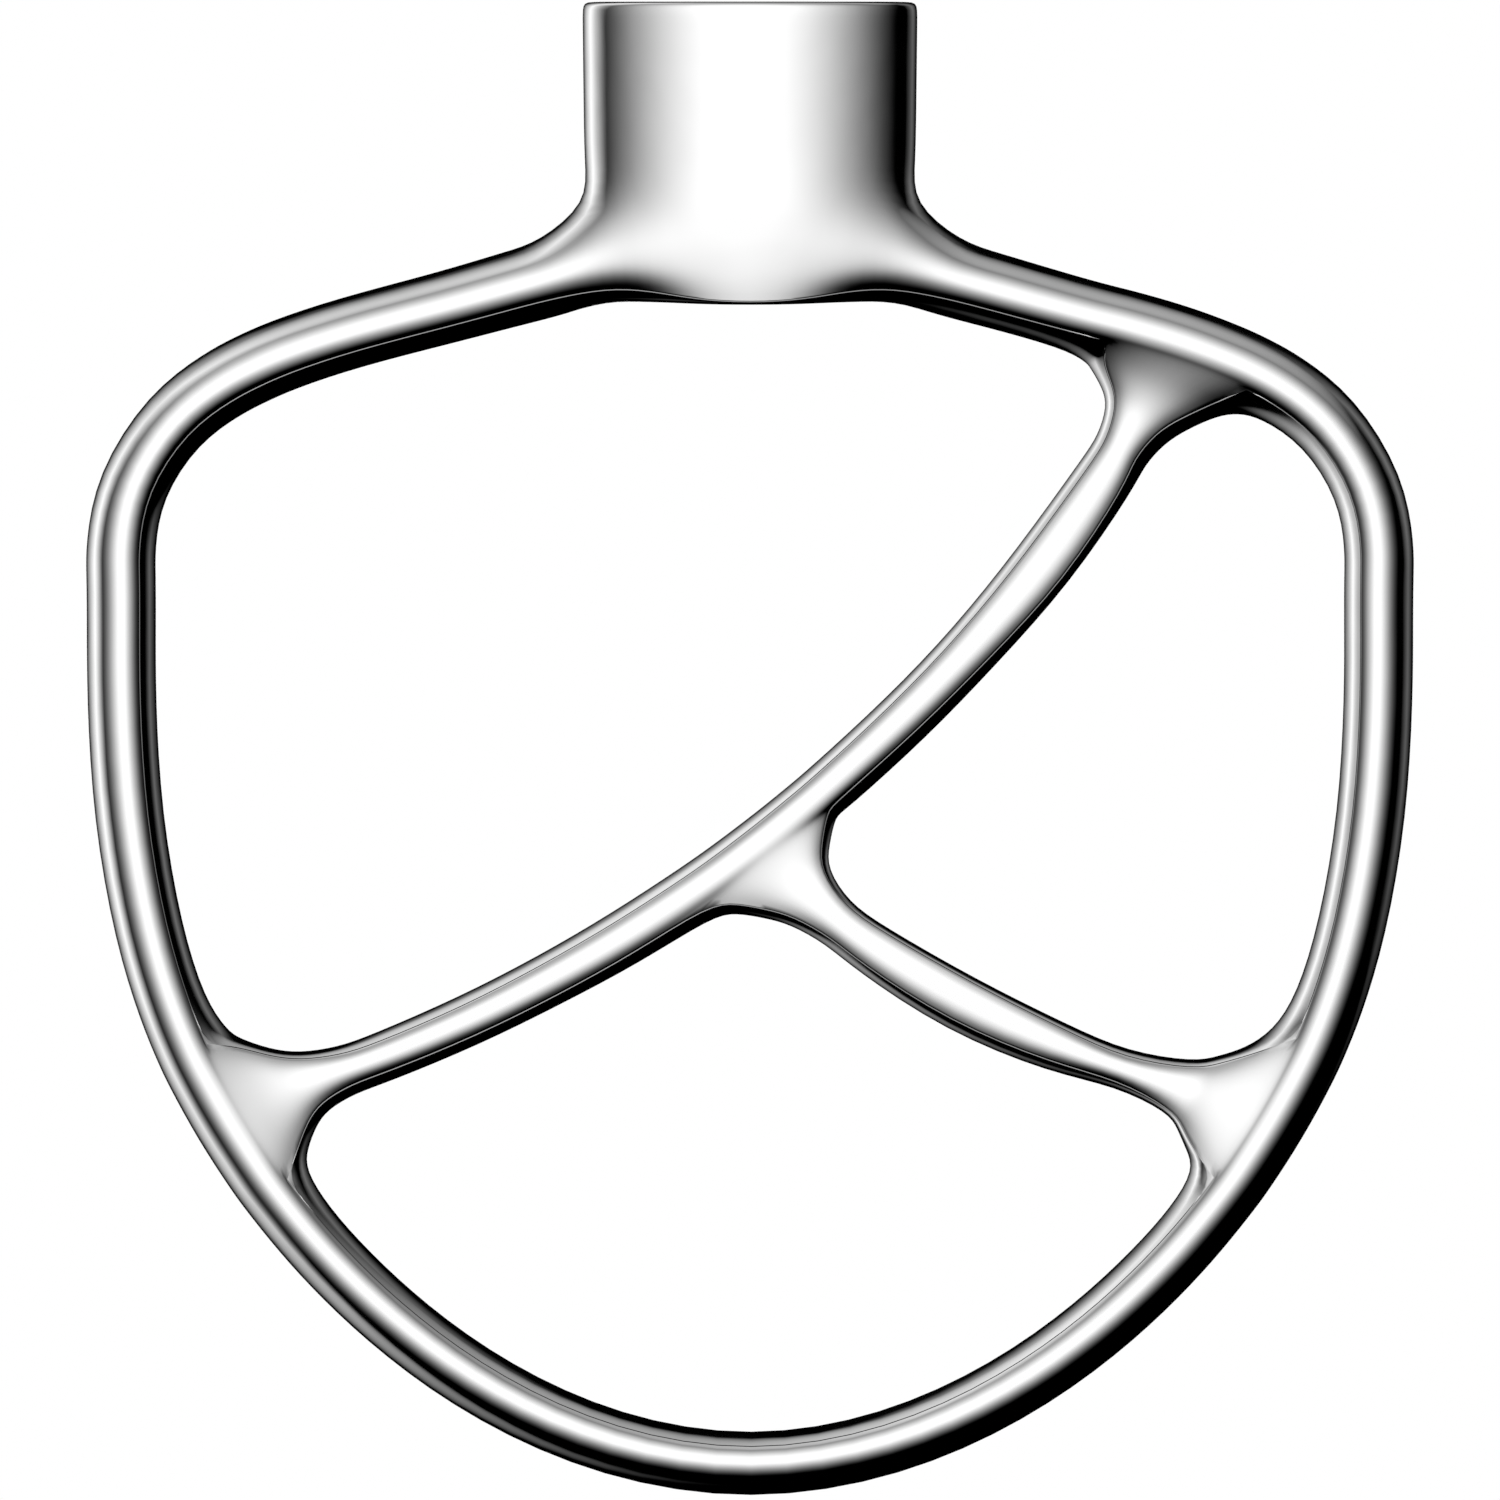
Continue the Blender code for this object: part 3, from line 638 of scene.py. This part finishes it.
@dataclass
class WindowRim:
    """The edge of a window: a fine groove below the edge line, then the window's wall."""

    groove_width: float = 0.05 * MM
    groove_depth: float = 0.10 * MM
    ridge_width: float = 0.13 * MM
    # Rows of the wall between the groove and the parting plane: out, and height left
    wall_shares: tuple = ((0.532, 0.742), (0.879, 0.395), (1.06, 0.0))
    hub_wall_shares: tuple = ((0.60, 0.90), (1.0, 0.78), (1.0, 0.0))
    # Steepest fall of the wall beside the groove, so that narrow walls start no steeper
    first_slope: float = 2.2

    def settle(self, cage: Cage, brinks: list[Brink], fillets: tuple) -> None:
        """Place the groove and the sill round a window, with its corners rounded.

        Args:
            cage: the cage that holds the edge line.
            brinks: the window's stops, clockwise.
            fillets: for each corner, how far it reaches along the bars beside it.
        """
        places = [cage.place(brink.point) for brink in brinks]
        for i, brink in enumerate(brinks):
            if brink.stop is Stop.HUB:
                brink.lip = places[i] - Vector((0.0, self.groove_width))
                brink.foot = places[i] - Vector((0.0, self.ridge_width))
                continue
            j = (i + 1) % len(brinks)
            before = (places[i] - places[i - 1]).normalized()
            after = (places[j] - places[i]).normalized()
            if brink.stop is Stop.CORNER:
                came_by_bar = brinks[i - 1].stop is Stop.BAR
                rib_wall = brinks[j if came_by_bar else i - 1].wall
                axes = np.array([brink.normal, right_of(after if came_by_bar else before)])
                lip, foot, sill = [Vector(np.linalg.solve(axes, np.array(reach))) for reach in (
                    (self.groove_width,) * 2, (self.ridge_width,) * 2, (brink.wall, rib_wall))]
            else:
                normal = brink.normal or right_of((before + after).normalized())
                lip, foot, sill = [normal * reach for reach in (
                    self.groove_width, self.ridge_width, brink.wall)]
            brink.lip = places[i] + lip
            brink.foot = places[i] + foot
            brink.sill = places[i] + sill
        self.round_corners(brinks, fillets)

    def round_corners(self, brinks: list[Brink], fillets: tuple) -> None:
        """Draw the sills near each corner onto a curve between its two reaches.

        Args:
            brinks: the window's stops, clockwise.
            fillets: for each corner, how far it reaches along the bars beside it.
        """
        sills = [brink.sill.copy() for brink in brinks]
        corners = [i for i, brink in enumerate(brinks) if brink.stop is Stop.CORNER]
        for corner, reaches in zip(corners, fillets):
            ends = []
            # Stops and how far along the curve they lie, the corner itself half way
            turns = [(corner, 0.5)]
            for step, reach in zip((-1, 1), reaches):
                travelled = 0.0
                i = corner
                while travelled < reach:
                    here = sills[i]
                    i = (i + step) % len(brinks)
                    length = (sills[i] - here).length
                    if travelled + length >= reach:
                        ends.append(here.lerp(sills[i], (reach - travelled) / length))
                    else:
                        turns.append((i, 0.5 + step * (travelled + length) / reach / 2))
                    travelled += length
            start, finish = ends
            peak = sills[corner]
            for i, turn in turns:
                brinks[i].sill = start.lerp(peak, turn).lerp(peak.lerp(finish, turn), turn)

    def lay(self, cage: Cage, brinks: list[Brink]) -> None:
        """Draw the groove and half the wall, from the edge line to the parting plane.

        Args:
            cage: the cage that takes the points.
            brinks: the window's settled stops.
        """
        lines = []
        for brink in brinks:
            top = cage.height(brink.point)
            line = [brink.point, cage.add(brink.lip, top - self.groove_depth), cage.add(brink.foot, top)]
            if brink.stop is Stop.CORNER:
                cage.sharp_points += line
            walls = self.hub_wall_shares if brink.stop is Stop.HUB else self.wall_shares
            heights = [top * left for _, left in walls]
            gentle = top - self.first_slope * walls[0][0] * (brink.sill - brink.foot).length
            heights[0] = max(heights[0], gentle)
            line += [cage.add(brink.foot.lerp(brink.sill, out), height)
                     for (out, _), height in zip(walls, heights)]
            lines.append(line)
        lines.append(lines[0])
        cage.sheet(lines)
        edge_lines, lips, feet, *_ = zip(*lines)
        for crisp in (edge_lines, lips, feet):
            cage.sharpen(crisp)


@dataclass
class DriveSocket:
    """Bore, cavity, keyway and pin seat that take the mixer's shaft and its cross pin."""

    shaft: float = 12.7 * MM
    shaft_clearance: float = 0.3 * MM
    pin: float = 4.8 * MM
    pin_clearance: float = 0.6 * MM
    pin_reach: float = 9.6 * MM
    roof: float = 8.0 * MM
    cavity: float = 23.5 * MM
    chamfer: float = 0.6 * MM
    pin_seat: float = 2.6 * MM
    overrun: float = 1.0 * MM
    sides: int = 96
    slot_turns: int = 20

    def turned_tool(self, hub_height: float) -> Object:
        """Make the round cutter of the bore and the cavity.

        Args:
            hub_height: how deep the socket goes.

        Returns:
            The cutter.
        """
        bore = self.shaft / 2 + self.shaft_clearance
        cavity = self.cavity / 2
        profile = (
            (bore + self.chamfer + self.overrun, self.overrun),
            (bore, -self.chamfer),
            (bore, -self.roof),
            (cavity - self.chamfer, -self.roof),
            (cavity, -self.roof - self.chamfer),
            (cavity, -hub_height + self.chamfer),
            (cavity + self.chamfer + self.overrun, -hub_height - self.overrun),
        )
        angles = [2 * pi * i / self.sides for i in range(self.sides)]
        bm = bmesh.new()
        rings = [[bm.verts.new((radius * cos(a), radius * sin(a), height)) for a in angles]
                 for radius, height in profile]
        bm.faces.new(rings[0])
        bm.faces.new(reversed(rings[-1]))
        for upper, lower in zip(rings, rings[1:]):
            for i in range(self.sides):
                j = (i + 1) % self.sides
                bm.faces.new((upper[i], lower[i], lower[j], upper[j]))
        return self.cutter(bm, RoundCut.BORE)

    def slot_tool(self, cut: RoundCut, turn: float, top: float) -> Object:
        """Make the cutter of an upright slot with a round end.

        Args:
            cut: which slot it is.
            turn: which way it points from the socket's axis, in radians.
            top: how high it reaches.

        Returns:
            The cutter.
        """
        half = (self.pin + self.pin_clearance) / 2
        bottom = -self.roof - self.overrun
        turns = [pi * (i / self.slot_turns - 0.5) for i in range(self.slot_turns + 1)]
        outline = [(0.0, half), (0.0, -half)]
        outline += [(self.pin_reach - half + half * cos(t), half * sin(t)) for t in turns]
        bm = bmesh.new()
        face = bm.faces.new([bm.verts.new((x, y, bottom)) for x, y in outline])
        grown = bmesh.ops.extrude_face_region(bm, geom=[face])
        lifted = [item for item in grown["geom"] if isinstance(item, BMVert)]
        bmesh.ops.translate(bm, verts=lifted, vec=(0.0, 0.0, top - bottom))
        tool = self.cutter(bm, cut)
        tool.rotation_euler = (0.0, 0.0, turn)
        return tool

    def cutter(self, bm: BMesh, cut: RoundCut) -> Object:
        """Turn a closed form, which is used up, into the cutter of a cut."""
        bmesh.ops.recalc_face_normals(bm, faces=bm.faces)
        return placed(cut.value, settled(bm, cut.value))

    def cut(self, body: Object, hub_height: float, finish: Material) -> list[Object]:
        """Cut the socket into the casting.

        Args:
            body: the casting.
            hub_height: how deep the socket goes.
            finish: the material of the cut surfaces.

        Returns:
            The cutters, which the casting needs until its mesh is settled.
        """
        tools = [
            self.turned_tool(hub_height),
            self.slot_tool(RoundCut.KEYWAY, -pi / 2, self.overrun),
            self.slot_tool(RoundCut.PIN_SEAT, pi, self.pin_seat - self.roof),
        ]
        for tool in tools:
            tool.data.materials.append(finish)
            modifier = body.modifiers.new(tool.name, "BOOLEAN")
            modifier.operation = "DIFFERENCE"
            modifier.material_mode = "TRANSFER"
            modifier.object = tool
        return tools


@dataclass(frozen=True)
class Relief:
    """One layer of fine relief on a surface."""

    # Size or spacing of its marks, and how deep they are as a share of that
    size: float
    depth_share: float
    strength: float
    detail: float = 1.0
    # How many times longer its marks are upwards than across
    stretch: float = 1.0
    distortion: float = 0.0
    pattern: Pattern = Pattern.GRAIN

    def carve(self, tree: NodeTree, place: NodeSocket, under: NodeSocket | None) -> NodeSocket:
        """Add the layer to a material.

        Args:
            tree: the material's nodes.
            place: the place on the object.
            under: the normal that the layers below give, if there are any.

        Returns:
            The normal with this layer.
        """
        rings = self.pattern is Pattern.RINGS
        stretched = add_node(tree, "ShaderNodeMapping", inputs={
            "Vector": place, "Scale": (1.0, 1.0, 1 / self.stretch)})
        marks = add_node(tree, self.pattern.value, {"bands_direction": "Z"} if rings else {}, {
            "Vector": stretched.outputs["Vector"], "Scale": (WAVE_PITCH if rings else 1.0) / self.size,
            "Detail": self.detail, "Distortion": self.distortion})
        bump = add_node(tree, "ShaderNodeBump", inputs={
            "Strength": self.strength, "Distance": self.size * self.depth_share,
            "Height": marks.outputs["Fac"]})
        if under:
            tree.links.new(under, bump.inputs["Normal"])
        return bump.outputs["Normal"]


@dataclass(frozen=True)
class Finish:
    """A finish: its colour, its roughness, which may vary in patches, and its relief."""

    name: str = "plain_finish"
    colour: str = "#FFFFFF"
    metallic: float = 1.0
    roughness: tuple[float, float] = (0.5, 0.5)
    patch_size: float = 7.0 * MM
    patch_detail: float = 3.0
    patch_range: tuple[float, float] = (0.3, 0.7)
    reliefs: tuple[Relief, ...] = ()

    def material(self) -> Material:
        """Make the material.

        Returns:
            The material.
        """
        material = bpy.data.materials.new(self.name)
        material.use_nodes = True
        tree = material.node_tree
        shader = tree.nodes["Principled BSDF"]
        shader.inputs["Base Color"].default_value = linear(self.colour)
        shader.inputs["Metallic"].default_value = self.metallic
        dull, duller = self.roughness
        shader.inputs["Roughness"].default_value = dull
        place = add_node(tree, "ShaderNodeTexCoord").outputs["Object"]
        if duller != dull:
            patches = add_node(tree, "ShaderNodeTexNoise", inputs={
                "Vector": place, "Scale": 1 / self.patch_size, "Detail": self.patch_detail})
            dullness = add_node(tree, "ShaderNodeMapRange", inputs={
                "Value": patches.outputs["Fac"], "From Min": self.patch_range[0],
                "From Max": self.patch_range[1], "To Min": dull, "To Max": duller})
            tree.links.new(dullness.outputs["Result"], shader.inputs["Roughness"])
        normal = None
        for relief in self.reliefs:
            normal = relief.carve(tree, place, normal)
        tree.links.new(normal, shader.inputs["Normal"])
        return material


@dataclass(frozen=True)
class MirrorPolishedSteel(Finish):
    """Cast stainless steel, ground and buffed to a mirror.

    The cast skin is ground off and buffed, so the eye sees a bright neutral metal with
    clean reflections. Buffing leaves the surface very slightly wavy and some patches a
    touch duller than others, with hair-fine lines along the buff's path.
    """

    name: str = "mirror_polished_cast_stainless_steel"
    colour: str = "#E4E4E4"
    roughness: tuple[float, float] = (0.05, 0.10)
    # Real buffing lines are about 0.02 mm apart, drawn coarser so that they show
    reliefs: tuple[Relief, ...] = (
        Relief(5.0 * MM, depth_share=0.5, strength=0.015),
        Relief(0.12 * MM, depth_share=1.0, strength=0.012, detail=2.0, stretch=14.0),
    )


@dataclass(frozen=True)
class TurnedSteel(Finish):
    """The same stainless steel where a tool has turned the socket out.

    Turned surfaces stay duller than polished ones, with fine rings round the axis.
    """

    name: str = "turned_stainless_steel"
    colour: str = "#CFCFCC"
    roughness: tuple[float, float] = (0.32, 0.32)
    # A turning tool's feed of about 0.15 mm leaves one ring for each turn
    reliefs: tuple[Relief, ...] = (
        Relief(0.30 * MM, depth_share=0.25, strength=0.25, distortion=0.6, pattern=Pattern.RINGS),
    )


@dataclass(frozen=True)
class StudioPaper(Finish):
    """Matt white background paper, which the eye sees as one pale even surface."""

    name: str = "matt_studio_paper"
    colour: str = "#F4F4F2"
    metallic: float = 0.0
    roughness: tuple[float, float] = (0.9, 0.9)
    reliefs: tuple[Relief, ...] = (Relief(0.8 * MM, depth_share=0.25, strength=0.05, detail=2.0),)


@dataclass
class FlatBeater:
    """The whole casting: loop, hub, ribs, webs, windows and drive socket."""

    bar: LoopBar = field(default_factory=LoopBar)
    hub: Hub = field(default_factory=Hub)
    rim: WindowRim = field(default_factory=WindowRim)
    socket: DriveSocket = field(default_factory=DriveSocket)
    diagonal: Rib = field(default_factory=lambda: Rib(
        depth=9.8 * MM,
        edge_shares=(
            ((0.5630, 0.2458), (0.7360, 0.2746), (1.00, 1.15)),
            ((0.5809, 0.2780), (0.6452, 0.2957), (1.00, 1.42)),
            ((0.5351, 0.3209), (0.5864, 0.3352), (1.08, 1.00)),
            ((0.3347, 0.4325), (0.3793, 0.4484), (0.98, 0.98)),
            ((0.1144, 0.5262), (0.1462, 0.5433), (1.00, 1.28)),
            ((0.0207, 0.5601), (0.0400, 0.5799), (1.02, 1.30)),
            ((-0.1017, 0.5994), (-0.0747, 0.6192), (1.10, 1.30)),
            ((-0.3301, 0.6596), (-0.3080, 0.6792), (1.05, 1.02)),
            ((-0.5880, 0.7119), (-0.5689, 0.7303), (1.02, 1.05)),
            ((-0.7151, 0.7242), (-0.6802, 0.7532), (0.80, 1.05)),
            ((-0.8168, 0.7161), (-0.7190, 0.7833), (0.80, 1.00)),
        ),
        root_rise_shares=((0.50, 0.32), (0.20, 0.08), (0.03, 0.0)),
    ))
    branch: Rib = field(default_factory=lambda: Rib(
        depth=9.2 * MM,
        edge_shares=(
            ((0.1224, 0.5556), (-0.0207, 0.6172), (1.00, 1.00)),
            ((0.1160, 0.5953), (0.0715, 0.6267), (0.76, 0.92)),
            ((0.2160, 0.6381), (0.1850, 0.6591), (0.63, 0.92)),
            ((0.4968, 0.7033), (0.4761, 0.7241), (0.70, 1.05)),
            ((0.6993, 0.7297), (0.6627, 0.7567), (0.84, 0.56)),
            ((0.7946, 0.7214), (0.7056, 0.7840), (0.82, 0.70)),
        ),
        root_rise_shares=((-0.07, -0.05), (-0.17, -0.16), (-0.19, -0.16), (-0.12, -0.09), (-0.04, -0.02)),
    ))
    # How far each rounded window corner reaches along the two bars that meet in it
    large_window_fillets: tuple = ((4.0 * MM, 4.3 * MM), (4.1 * MM, 4.1 * MM))
    right_window_fillets: tuple = ((3.7 * MM, 3.7 * MM), (4.1 * MM, 4.1 * MM))
    lower_window_fillets: tuple = ((2.0 * MM, 2.0 * MM), (2.0 * MM, 2.0 * MM))
    junction_row: int = 8
    junction_rise_shares: tuple = (0.0, 0.50, 0.75, 0.50, 0.0)
    # How far the loop's face is filled up at the crown's web and the right and left webs
    fill_shares: tuple = (0.22, 0.28, 0.48)
    fineness: int = 2
    sharp_angle: float = radians(35)

    def lay_out(self) -> tuple[Cage, list[int]]:
        """Lay out the front half of the casting.

        Returns:
            The cage, and the points of the hub's top rim.
        """
        cage = Cage()
        knots, ends = self.bar.stops(self.hub.radius)
        stations, bar_rim = self.bar.lay(cage, knots)
        edges = [station[-1] for station in stations]
        crown_a, crown_b, _, right_b, right_c, left_c, left_a = ends[:7]
        for corner in (crown_a, crown_b, right_b, right_c, left_c, left_a):
            bar_rim[corner].stop = Stop.CORNER
        cap_row, hub_rim = self.hub.lay(cage, (stations[-1], stations[0]), self.bar.section_angles())
        webs = ((crown_a, crown_b), (right_b, right_c), (left_c, left_a))
        for (start, end), share in zip(webs, self.fill_shares):
            self.bar.fill_web(cage, stations[start + 1:end], share)

        first = self.junction_row
        rises = {first + i: share for i, share in enumerate(self.junction_rise_shares)}
        left_root = edges[left_c:left_a + 1][::-1]
        diagonal, (upper, lower) = self.diagonal.lay(
            cage, self.bar, edges[crown_a:crown_b + 1], left_root, rises)
        junction = [station[-1] for station in diagonal[first:first + len(rises)]]
        _, (beside, under) = self.branch.lay(cage, self.bar, junction, edges[right_b:right_c + 1])
        windows = (
            (hub_rim + bar_rim[:crown_a + 1] + upper + bar_rim[left_a:], self.large_window_fillets),
            (bar_rim[crown_b:right_b + 1] + beside[::-1] + lower[first::-1], self.right_window_fillets),
            (bar_rim[right_c:left_c + 1] + lower[:first + len(rises) - 2:-1] + under,
             self.lower_window_fillets),
        )
        for brinks, fillets in windows:
            self.rim.settle(cage, brinks, fillets)
            self.rim.lay(cage, brinks)
        return cage, cap_row

    def build(self, polished: Material, turned: Material) -> Object:
        """Make the casting and settle its mesh.

        Args:
            polished: the finish of the outside.
            turned: the finish of the socket.

        Returns:
            The casting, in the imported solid's place.
        """
        cage, cap_row = self.lay_out()
        body = placed("polished_flat_beater", cage.mesh("polished_flat_beater", cap_row))
        body.data.materials.append(polished)
        body.data.materials.append(turned)
        rounding = body.modifiers.new("rounding", "SUBSURF")
        rounding.levels = self.fineness
        rounding.render_levels = self.fineness
        tools = self.socket.cut(body, self.hub.height, turned)
        rounded = body.evaluated_get(bpy.context.evaluated_depsgraph_get())
        mesh = bpy.data.meshes.new_from_object(rounded)
        body.modifiers.clear()
        body.data = mesh
        mesh.shade_smooth()
        mesh.set_sharp_from_angle(angle=self.sharp_angle)
        for tool in tools:
            bpy.data.objects.remove(tool)
        return body

    def dress(self, body: Object) -> None:
        """Put the casting in the solid's place on its body.

        Args:
            body: the casting.
        """
        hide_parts("flat_beater")
        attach(body, "root")
        # The picture shows only the studio in the metal, never the casting in itself
        body.visible_glossy = False


def direction(azimuth: float, elevation: float = 0.0) -> tuple[float, float, float]:
    """Give the direction of a light.

    Args:
        azimuth: turn from the front towards the right, in degrees.
        elevation: height above the level, in degrees.

    Returns:
        The unit direction from the object.
    """
    turn = radians(azimuth)
    rise = radians(elevation)
    return sin(turn) * cos(rise), -cos(turn) * cos(rise), sin(rise)


@dataclass(frozen=True)
class StripLight:
    """A tall strip light that stands to one side, behind the object.

    Its azimuth is in degrees. The other sizes are parts of a unit direction: how far the
    light spreads sideways, its brightest height, and its spread above and below that.
    """

    azimuth: float
    half_width: float
    middle: float
    above: float
    below: float
    strength: float


@dataclass
class Sky:
    """The studio's lights as the world's nodes draw them, by the direction looked in."""

    tree: NodeTree
    strength: float = 1.3
    # The softbox in front: its axis, and where its light has faded to nothing
    key_axis: tuple[float, float, float] = direction(-5, 20)
    key_reach: float = 0.59
    key_spread: float = 1.4
    key_fade: float = 1.7
    strips: tuple = (
        StripLight(-145.5, half_width=0.44, middle=0.0, above=0.95, below=0.60, strength=1.0),
        StripLight(154, half_width=0.25, middle=0.15, above=0.60, below=0.30, strength=0.14),
    )
    strip_side_fade: float = 1.2
    strip_end_fade: float = 2.0
    # The softbox above and behind: its height in degrees, and its half length and width
    top_elevation: float = 50
    top_half_length: float = 0.38
    top_half_width: float = 0.75
    top_fade: float = 2.0
    top_strength: float = 0.33
    # The white card behind is just wide enough to fill the picture, also in the metal
    card_edge: float = 0.9986

    def __post_init__(self) -> None:
        """Start from the direction looked in."""
        self.towards = add_node(self.tree, "ShaderNodeTexCoord").outputs["Generated"]

    def step(self, operation: str, first: object, second: object = 0.0, clamp: bool = False) -> NodeSocket:
        """Work out one number from one or two values or outputs, clamped from 0 to 1 if asked."""
        settings = {"operation": operation, "use_clamp": clamp}
        return add_node(self.tree, "ShaderNodeMath", settings, {0: first, 1: second}).outputs[0]

    def along(self, axis: tuple[float, float, float]) -> NodeSocket:
        """Measure how far the direction looked in points along an axis of length one."""
        node = add_node(self.tree, "ShaderNodeVectorMath", {"operation": "DOT_PRODUCT"},
                        {0: self.towards, 1: axis})
        return node.outputs["Value"]

    def softbox(self) -> NodeSocket:
        """Light the front with one broad softbox that fades towards its edges.

        Returns:
            The light seen in each direction.
        """
        reached = self.step("ADD", self.along(self.key_axis), self.key_reach)
        rise = self.step("DIVIDE", reached, self.key_spread, clamp=True)
        return self.step("POWER", rise, self.key_fade)

    def strip(self, lamp: StripLight) -> NodeSocket:
        """Light one side from behind with a tall strip light.

        Args:
            lamp: the strip light.

        Returns:
            The light seen in each direction.
        """
        facing = self.along(direction(lamp.azimuth))
        aside = self.along(direction(lamp.azimuth + 90))
        away = self.step("DIVIDE", self.step("ABSOLUTE", aside), lamp.half_width)
        wide = self.step("POWER", self.step("SUBTRACT", 1.0, away, clamp=True), self.strip_side_fade)
        level = self.step("SUBTRACT", self.along((0.0, 0.0, 1.0)), lamp.middle)
        outer = self.step("MAXIMUM", self.step("DIVIDE", level, lamp.above),
                          self.step("DIVIDE", level, -lamp.below))
        high = self.step("POWER", outer, self.strip_end_fade)
        tall = self.step("SUBTRACT", 1.0, high, clamp=True)
        near = self.step("GREATER_THAN", facing, 0.0)
        light = self.step("MULTIPLY", self.step("MULTIPLY", wide, tall), near)
        return self.step("MULTIPLY", light, lamp.strength)

    def top_light(self) -> NodeSocket:
        """Light the top from above and behind with a dimmer, wide softbox.

        Returns:
            The light seen in each direction.
        """
        facing = self.along(direction(180, self.top_elevation))
        upright = self.along(direction(0, 90 - self.top_elevation))
        rise = self.step("POWER", self.step("DIVIDE", upright, self.top_half_length), self.top_fade)
        aside = self.step("DIVIDE", self.along((1.0, 0.0, 0.0)), self.top_half_width)
        turn = self.step("POWER", aside, self.top_fade)
        spread = self.step("SUBTRACT", 1.0, self.step("ADD", rise, turn), clamp=True)
        near = self.step("GREATER_THAN", facing, 0.0)
        return self.step("MULTIPLY", self.step("MULTIPLY", spread, near), self.top_strength)

    def shine(self) -> None:
        """Add up the lights, with a plain white background behind the object."""
        total = self.softbox()
        for part in (*(self.strip(lamp) for lamp in self.strips), self.top_light()):
            total = self.step("ADD", total, part)
        lit = self.step("MULTIPLY", total, self.strength)
        card = self.step("GREATER_THAN", self.along((0.0, 1.0, 0.0)), self.card_edge)
        path = add_node(self.tree, "ShaderNodeLightPath").outputs
        shiny = self.step("MAXIMUM", path["Is Glossy Ray"], path["Is Transmission Ray"])
        white = self.step("MAXIMUM", path["Is Camera Ray"], self.step("MULTIPLY", shiny, card))
        glow = self.step("MAXIMUM", lit, white)
        plain = add_node(self.tree, "ShaderNodeMix", {"data_type": "FLOAT"}, {0: white, 2: glow, 3: 1.0})
        background = add_node(self.tree, "ShaderNodeBackground", inputs={
            "Color": linear("#FFFFFF"), "Strength": plain.outputs[0]})
        add_node(self.tree, "ShaderNodeOutputWorld", inputs={"Surface": background.outputs[0]})


@dataclass
class Studio:
    """Pale paper floor, soft studio light and a camera at the photograph's angle."""

    photo_pixels: int = 1500
    pixel: float = 0.0964 * MM
    # Row of the photograph's pixels that holds the hub's top
    hub_top_row: float = 1.5
    camera_distance: float = 0.8
    floor_drop: float = 6.0 * MM
    floor_radius: float = 0.9
    floor_sides: int = 96

    def light(self) -> None:
        """Hang the lights in a world of their own."""
        world = bpy.data.worlds.new("studio")
        bpy.context.scene.world = world
        world.use_nodes = True
        world.node_tree.nodes.clear()
        Sky(world.node_tree).shine()

    def floor(self, finish: Material) -> Object:
        """Lay a round sheet of pale paper below the beater.

        Args:
            finish: the paper's material.

        Returns:
            The floor.
        """
        bm = bmesh.new()
        level = SOLID_LOW.z - self.floor_drop
        angles = [2 * pi * i / self.floor_sides for i in range(self.floor_sides)]
        bm.faces.new([bm.verts.new((self.floor_radius * cos(angle),
                                    self.floor_radius * sin(angle), level)) for angle in angles])
        floor = placed("paper_floor", settled(bm, "paper_floor"))
        floor.data.materials.append(finish)
        # The beater's undersides are black in the picture, so the metal doesn't see the paper
        floor.visible_glossy = False
        return floor

    def camera(self) -> Object:
        """Set up a level camera straight in front, without perspective.

        Returns:
            The camera.
        """
        data = bpy.data.cameras.new("front_camera")
        data.type = "ORTHO"
        data.ortho_scale = self.photo_pixels * self.pixel
        camera = placed("front_camera", data)
        middle = (self.hub_top_row - self.photo_pixels / 2) * self.pixel
        camera.location = (0.0, -self.camera_distance, middle)
        camera.rotation_euler = (pi / 2, 0.0, 0.0)
        bpy.context.scene.camera = camera
        return camera


def main() -> None:
    """Build the beater and its studio, and report each piece."""
    logging.basicConfig(level=logging.INFO, format="%(name)s: %(message)s")
    studio = Studio()
    camera = studio.camera()
    LOG.info("%s %.1f mm across", camera.name, camera.data.ortho_scale / MM)
    beater = FlatBeater()
    body = beater.build(MirrorPolishedSteel().material(), TurnedSteel().material())
    beater.dress(body)
    LOG.info("%s %d faces", body.name, len(body.data.polygons))
    floor = studio.floor(StudioPaper().material())
    LOG.info("%s %.1f mm below the beater", floor.name, studio.floor_drop / MM)
    studio.light()
    bpy.context.scene.view_settings.view_transform = "Standard"


if __name__ == "__main__":
    main()
